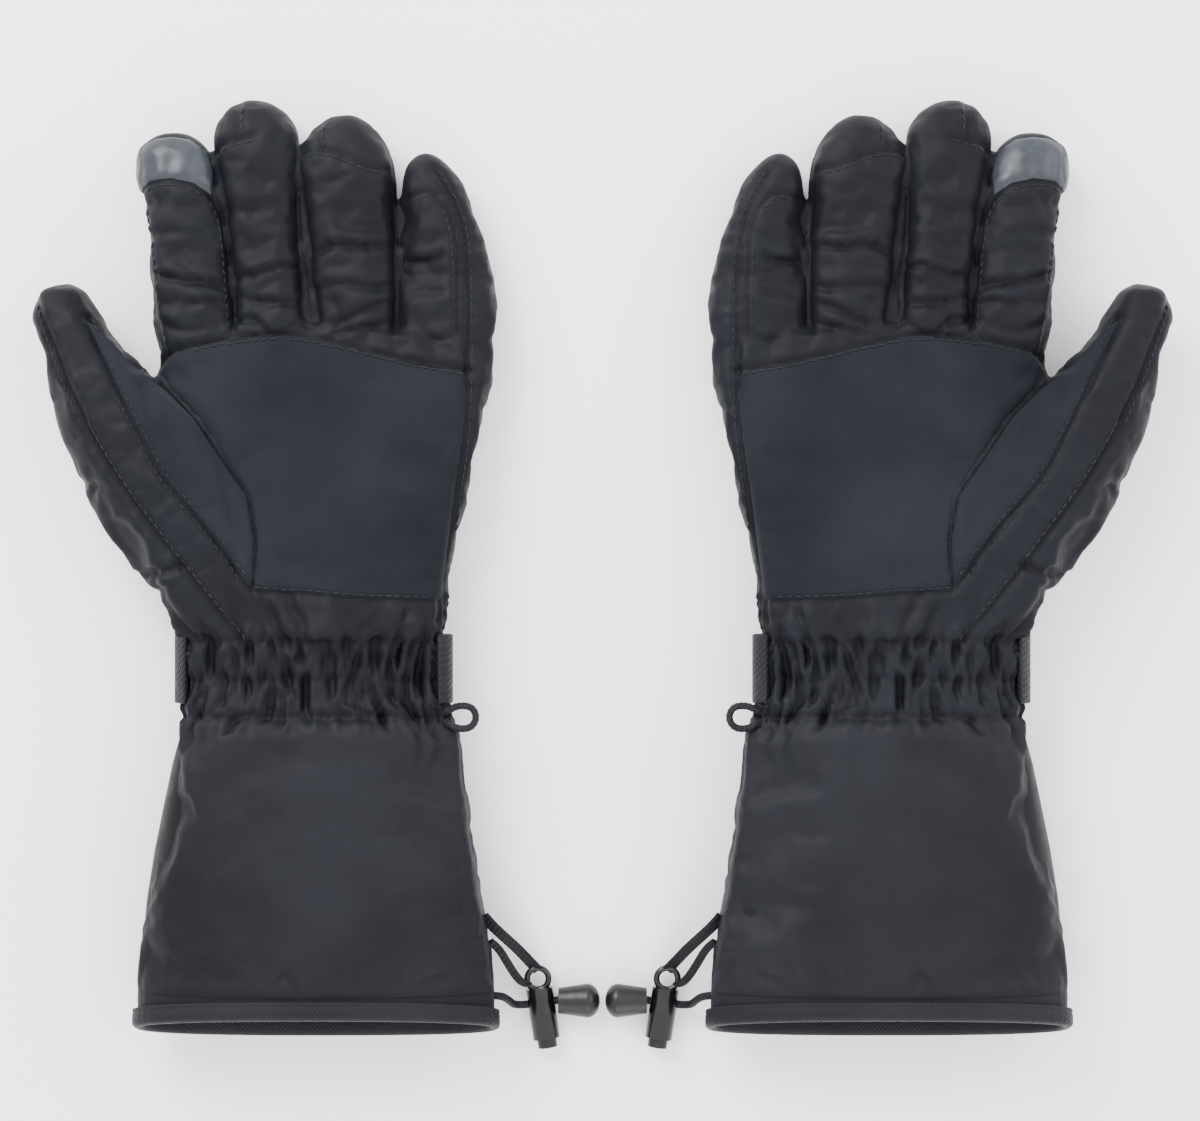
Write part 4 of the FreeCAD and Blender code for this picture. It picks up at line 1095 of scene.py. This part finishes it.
threads = {"length": 2.1, "pitch": 3.0, "width": 0.42, "height": 0.3}
stitchLines = {
    # line, distance beside it and lift above the fabric
    "hand": [("thumbInner", -1.6, 0.30), ("thumbInner", 1.7, 0.75), ("palmTop", -1.7, 0.75),
             ("palmFoot", 1.5, 0.75),
             ("ulnar", 1.5, 0.30), ("thumbOuter", 1.5, 0.30)],
    "index": [("indexCap", -1.5, 0.30), ("indexSide", 1.4, 0.3)],
    "middle": [("middleCross", -1.3, 0.30), ("middleTip", 1.3, 0.3)],
    "ring": [("ringCross", -1.3, 0.30), ("ringTip", 1.3, 0.3)], "little": [("littlePad", -1.4, 0.30)],
    "thumb": [("thumbInner", 1.6, 0.75), ("thumbOuter", -1.5, 0.30)],
}


def threadBar():
    ring = []
    half, width, tall = threads["length"] / 2, threads["width"] / 2, threads["height"]
    for along, share in ((-half, 0.25), (-half * 0.7, 0.9), (half * 0.7, 0.9), (half, 0.25)):
        for turn in range(6):
            angle = turn * math.pi / 3
            ring.append((along, width * share * math.cos(angle), tall * share * math.sin(angle)))
    faces = gridFaces(4, 6) + [tuple(range(6))[::-1], tuple(range(18, 24))]
    return np.array(ring), faces


def offsetLine(line, distance):
    direction = np.gradient(line, axis=0)
    direction /= np.maximum(np.linalg.norm(direction, axis=1), 1e-6)[:, None]
    return line + np.stack([-direction[:, 1], direction[:, 0]], 1) * distance


bar, barFaces = threadBar()
for name, rows in stitchLines.items():
    vertices, faces = [], []
    for lineName, beside, lift in rows:
        line = offsetLine(finerPalm[lineName], beside)
        gone = lengthsAlong(line)
        for start in np.arange(2.0, gone[-1] - 2.0, threads["pitch"]):
            at = np.array([np.interp(start, gone, line[:, axis]) for axis in range(2)])
            ahead = np.array([np.interp(start + 0.5, gone, line[:, axis]) for axis in range(2)])
            past = pastLine(at[None], name if name in bends else "thumb")[0]
            if (name in bends) != (past > 0):
                continue
            point, normal = lowerOnto(*at, lift - 0.12)
            if normal[2] < 0.25:
                continue
            forward = np.append(ahead - at, 0)
            forward -= normal * (forward @ normal)
            forward /= np.linalg.norm(forward)
            frameAxes = np.stack([forward, np.cross(normal, forward), normal])
            faces += [tuple(i + len(vertices) for i in f) for f in barFaces]
            vertices += list(bar @ frameAxes + point)
    if vertices:
        piece = newMesh(f"left_{name}Stitches", vertices, faces)
        bothSides(piece, "seamThread", bend=name if name in bends else None)
print("stitches ready")

# hem: binding round the mouth, the cord's channel, and the lining


def hemPoint(turn, inset, back):
    # a point round the mouth: inset inwards from the shell, back towards the fingers
    wide, tall = hemSize
    c, s = squaredRound(turn, softBody["square"])
    x, z = (wide - inset) * c, (tall - inset) * s
    return np.array((hemMiddle[0] + x, hemMiddle[1] + z * hemTilt + back, hemMiddle[2] + z))


def hemBand(name, profile, ripple, around=260):
    vertices = []
    for step in range(around):
        turn = 2 * math.pi * step / around
        wave = ripple * (noise.noise(Vector((3 * math.cos(turn), 3 * math.sin(turn), 1.7)))
                         + 0.35 * math.sin(turn * 64))
        for inset, back in profile:
            vertices.append(hemPoint(turn, inset - wave, back))
    piece = newMesh(name, vertices, gridFaces(around, len(profile), ring=True))
    recalculate(piece)
    return piece


binding = {"profile": ((-0.15, 6.2), (-0.62, 6.1), (-0.75, 5.6), (-0.5, 4.9), (-0.78, 4.2), (-0.85, 2.6),
                       (-0.8, 1.2), (-0.45, 0.3),
                       (0.5, -0.25), (1.6, -0.25), (2.6, 0.3), (2.95, 1.4), (2.95, 5.4), (2.75, 6.1),
                       (2.3, 6.2)), "ripple": 0.14}
piece = hemBand("left_hemBinding", **binding)
bothSides(piece, "hemTape", nodes=("hem_binding",))
channel = {"profile": ((2.4, 17.2), (3.0, 17.4), (4.6, 16.8), (5.4, 14.6), (5.6, 11.8), (5.4, 9.0),
                       (4.6, 6.9), (3.0, 6.3), (2.4, 6.5)), "ripple": 0.3}
piece = hemBand("left_cordChannel", **channel)
bothSides(piece, "hemTape", nodes=("hem_tunnel",))

lining = {"inset": 2.5, "rows": 26, "around": 120, "start": 5.0, "reach": 100.0, "wave": 0.8, "wall": 0.5}
vertices = []
for row in range(lining["rows"]):
    share = row / (lining["rows"] - 1)
    y = hemMiddle[1] + lining["start"] + share * (lining["reach"] - lining["start"])
    table = np.array(sorted(gauntletRows), float)
    low, high, height, half = [np.interp(y, table[:, 0], table[:, k]) for k in (1, 2, 3, 4)]
    for step in range(lining["around"]):
        turn = 2 * math.pi * step / lining["around"]
        c, s = squaredRound(turn, softBody["square"])
        fold = lining["wave"] * noise.noise(Vector((2.4 * c, 2.4 * s, y * 0.03))) - 0.4
        x = (low + high) / 2 + ((high - low) / 2 - lining["inset"] + fold) * c
        z = (half - lining["inset"] + fold) * s
        vertices.append((x, y + z * hemTilt * (1 - share), height + z))
faces = gridFaces(lining["rows"], lining["around"])
last = (lining["rows"] - 1) * lining["around"]
faces.append(tuple(range(last, last + lining["around"])))
piece = newMesh("left_gauntletLining", vertices, faces)
recalculate(piece)
giveWall(piece, lining["wall"], 0)
bothSides(piece, "innerTaffeta", nodes=("gauntlet_lining",))
print("hem ready")

# wrist strap, its tab, the anchor ribbon and the hanging loop


def sweepBand(name, spine, across, width, thick, edge=0.35):
    # a flat woven band along a line; across is its width direction at each point
    spine, across = np.array(spine, float), np.array(across, float)
    tangent = np.gradient(spine, axis=0)
    tangent /= np.linalg.norm(tangent, axis=1)[:, None]
    across /= np.linalg.norm(across, axis=1)[:, None]
    normal = np.cross(tangent, across)
    half, t = width / 2, thick / 2
    profile = [(-half, -t * 0.4), (-half, t * 0.4), (-half + edge, t)]
    profile += [(u, t) for u in np.linspace(-half + 1.2, half - 1.2, 7)]
    profile += [(half - edge, t), (half, t * 0.4), (half, -t * 0.4), (half - edge, -t)]
    profile += [(u, -t) for u in np.linspace(half - 1.2, -half + 1.2, 7)] + [(-half + edge, -t)]
    vertices = []
    for p, a, n in zip(spine, across, normal):
        vertices += [p + a * u + n * v for u, v in profile]
    return cappedTube(name, vertices, len(spine), len(profile))


strap = {"middle": (-100.65, -33.0, 24.0), "half": (47.7, 16.8), "width": 24.0, "thick": 1.6}
turns = np.linspace(math.radians(24), math.radians(-204), 90)
spine = [(strap["middle"][0] + strap["half"][0] * math.cos(t), strap["middle"][1],
          strap["middle"][2] + strap["half"][1] * math.sin(t)) for t in turns]
piece = sweepBand("left_wristStrap", spine, [(0, 1, 0)] * len(spine), strap["width"], strap["thick"])
bothSides(piece, "strapWebbing", nodes=("wrist_strap",))

low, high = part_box("left_strap_tab")
low, high = np.array(low) / mm, np.array(high) / mm
middleY, middleZ = (low[1] + high[1]) / 2, (low[2] + high[2]) / 2
run = np.linspace(low[0], high[0], 24)
spine = [(x, middleY, middleZ) for x in run]
piece = sweepBand("left_strapTab", spine, [(0, 1, 0)] * len(spine), high[1] - low[1], high[2] - low[2])
bothSides(piece, "strapWebbing", body="strap_tab", nodes=("strap_tab",))

ribbon = {"width": 5.0, "thick": 0.8,
          "first": ((-41.6, -119.5, 22.5), (-38.6, -123.2, 20.8), (-34.8, -127.4, 16.6),
                    (-30.0, -132.6, 11.0), (-26.6, -136.8, 7.4),
                    (-24.4, -139.4, 5.6), (-22.9, -141.0, 4.7)),
          "second": ((-39.6, -128.6, 19.5), (-36.4, -131.8, 16.2), (-33.6, -137.4, 11.6),
                     (-31.0, -142.2, 8.4), (-28.6, -145.2, 6.4),
                     (-26.2, -146.2, 5.2))}


spine = evenly(rounded(ribbon["first"]), 40)
lean = np.array([(0.62, 0.50, 0.6)] * 40)
piece = sweepBand("left_anchorRibbon", spine, lean, ribbon["width"], ribbon["thick"], edge=0.25)
second = sweepBand("left_ribbonBack", evenly(rounded(ribbon["second"]), 34),
                   np.array([(0.72, 0.45, 0.5)] * 34), ribbon["width"] * 0.7, ribbon["thick"], edge=0.25)
piece = joinAll([piece, second])
bothSides(piece, "strapWebbing", nodes=("anchor_ribbon",))


def sweepTube(name, spine, radius, around=20, braid=0.12):
    spine = np.array(spine, float)
    tangent = np.gradient(spine, axis=0)
    tangent /= np.linalg.norm(tangent, axis=1)[:, None]
    normal = np.cross(tangent[0], (0.13, 0.2, 1.0))
    vertices = []
    for p, t, s in zip(spine, tangent, lengthsAlong(spine)):
        normal = normal - t * (normal @ t)
        normal /= np.linalg.norm(normal)
        other = np.cross(t, normal)
        for step in range(around):
            angle = 2 * math.pi * step / around
            rise = 1 + braid * math.sin(angle * 4 + s * 2.2) * math.sin(angle * 4 - s * 2.2)
            vertices.append(p + radius * rise * (math.cos(angle) * normal + math.sin(angle) * other))
    return cappedTube(name, vertices, len(spine), around)


loop = {"corner": (-50.85, -49.5, 30.0), "radius": 1.2,
        "route": ((-4.6, 1.2, -2.0), (-2.2, 2.4, 0), (1.0, 3.9, 0.2), (5.6, 3.5, 0.5), (7.4, -0.3, 0.6),
                  (5.3, -4.0, 0.4),
                  (0.8, -4.3, 0.1), (-2.2, -2.7, 0), (-4.8, -1.4, -2.0))}
piece = sweepTube("left_hangLoop", evenly(rounded(np.array(loop["route"]) + loop["corner"]), 90),
                  loop["radius"])
bothSides(piece, "cordBraid", nodes=("hang_loop",))

for side in sides:
    cords[side].data.materials.append(materials["cordBraid"])
    for node, material in (("lock_body", "glossyPlastic"), ("lock_plunger", "satinPlastic"),
                           ("lock_spring", "springWire"),
                           ("cord_end", "satinPlastic"), ("strap_buckle", "buckleMoulding")):
        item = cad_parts[f"{side}_{node}"]
        for slot in item.material_slots:
            slot.material = materials[material]
print("bands, ribbon and loop ready")

bpy.context.view_layer.update()
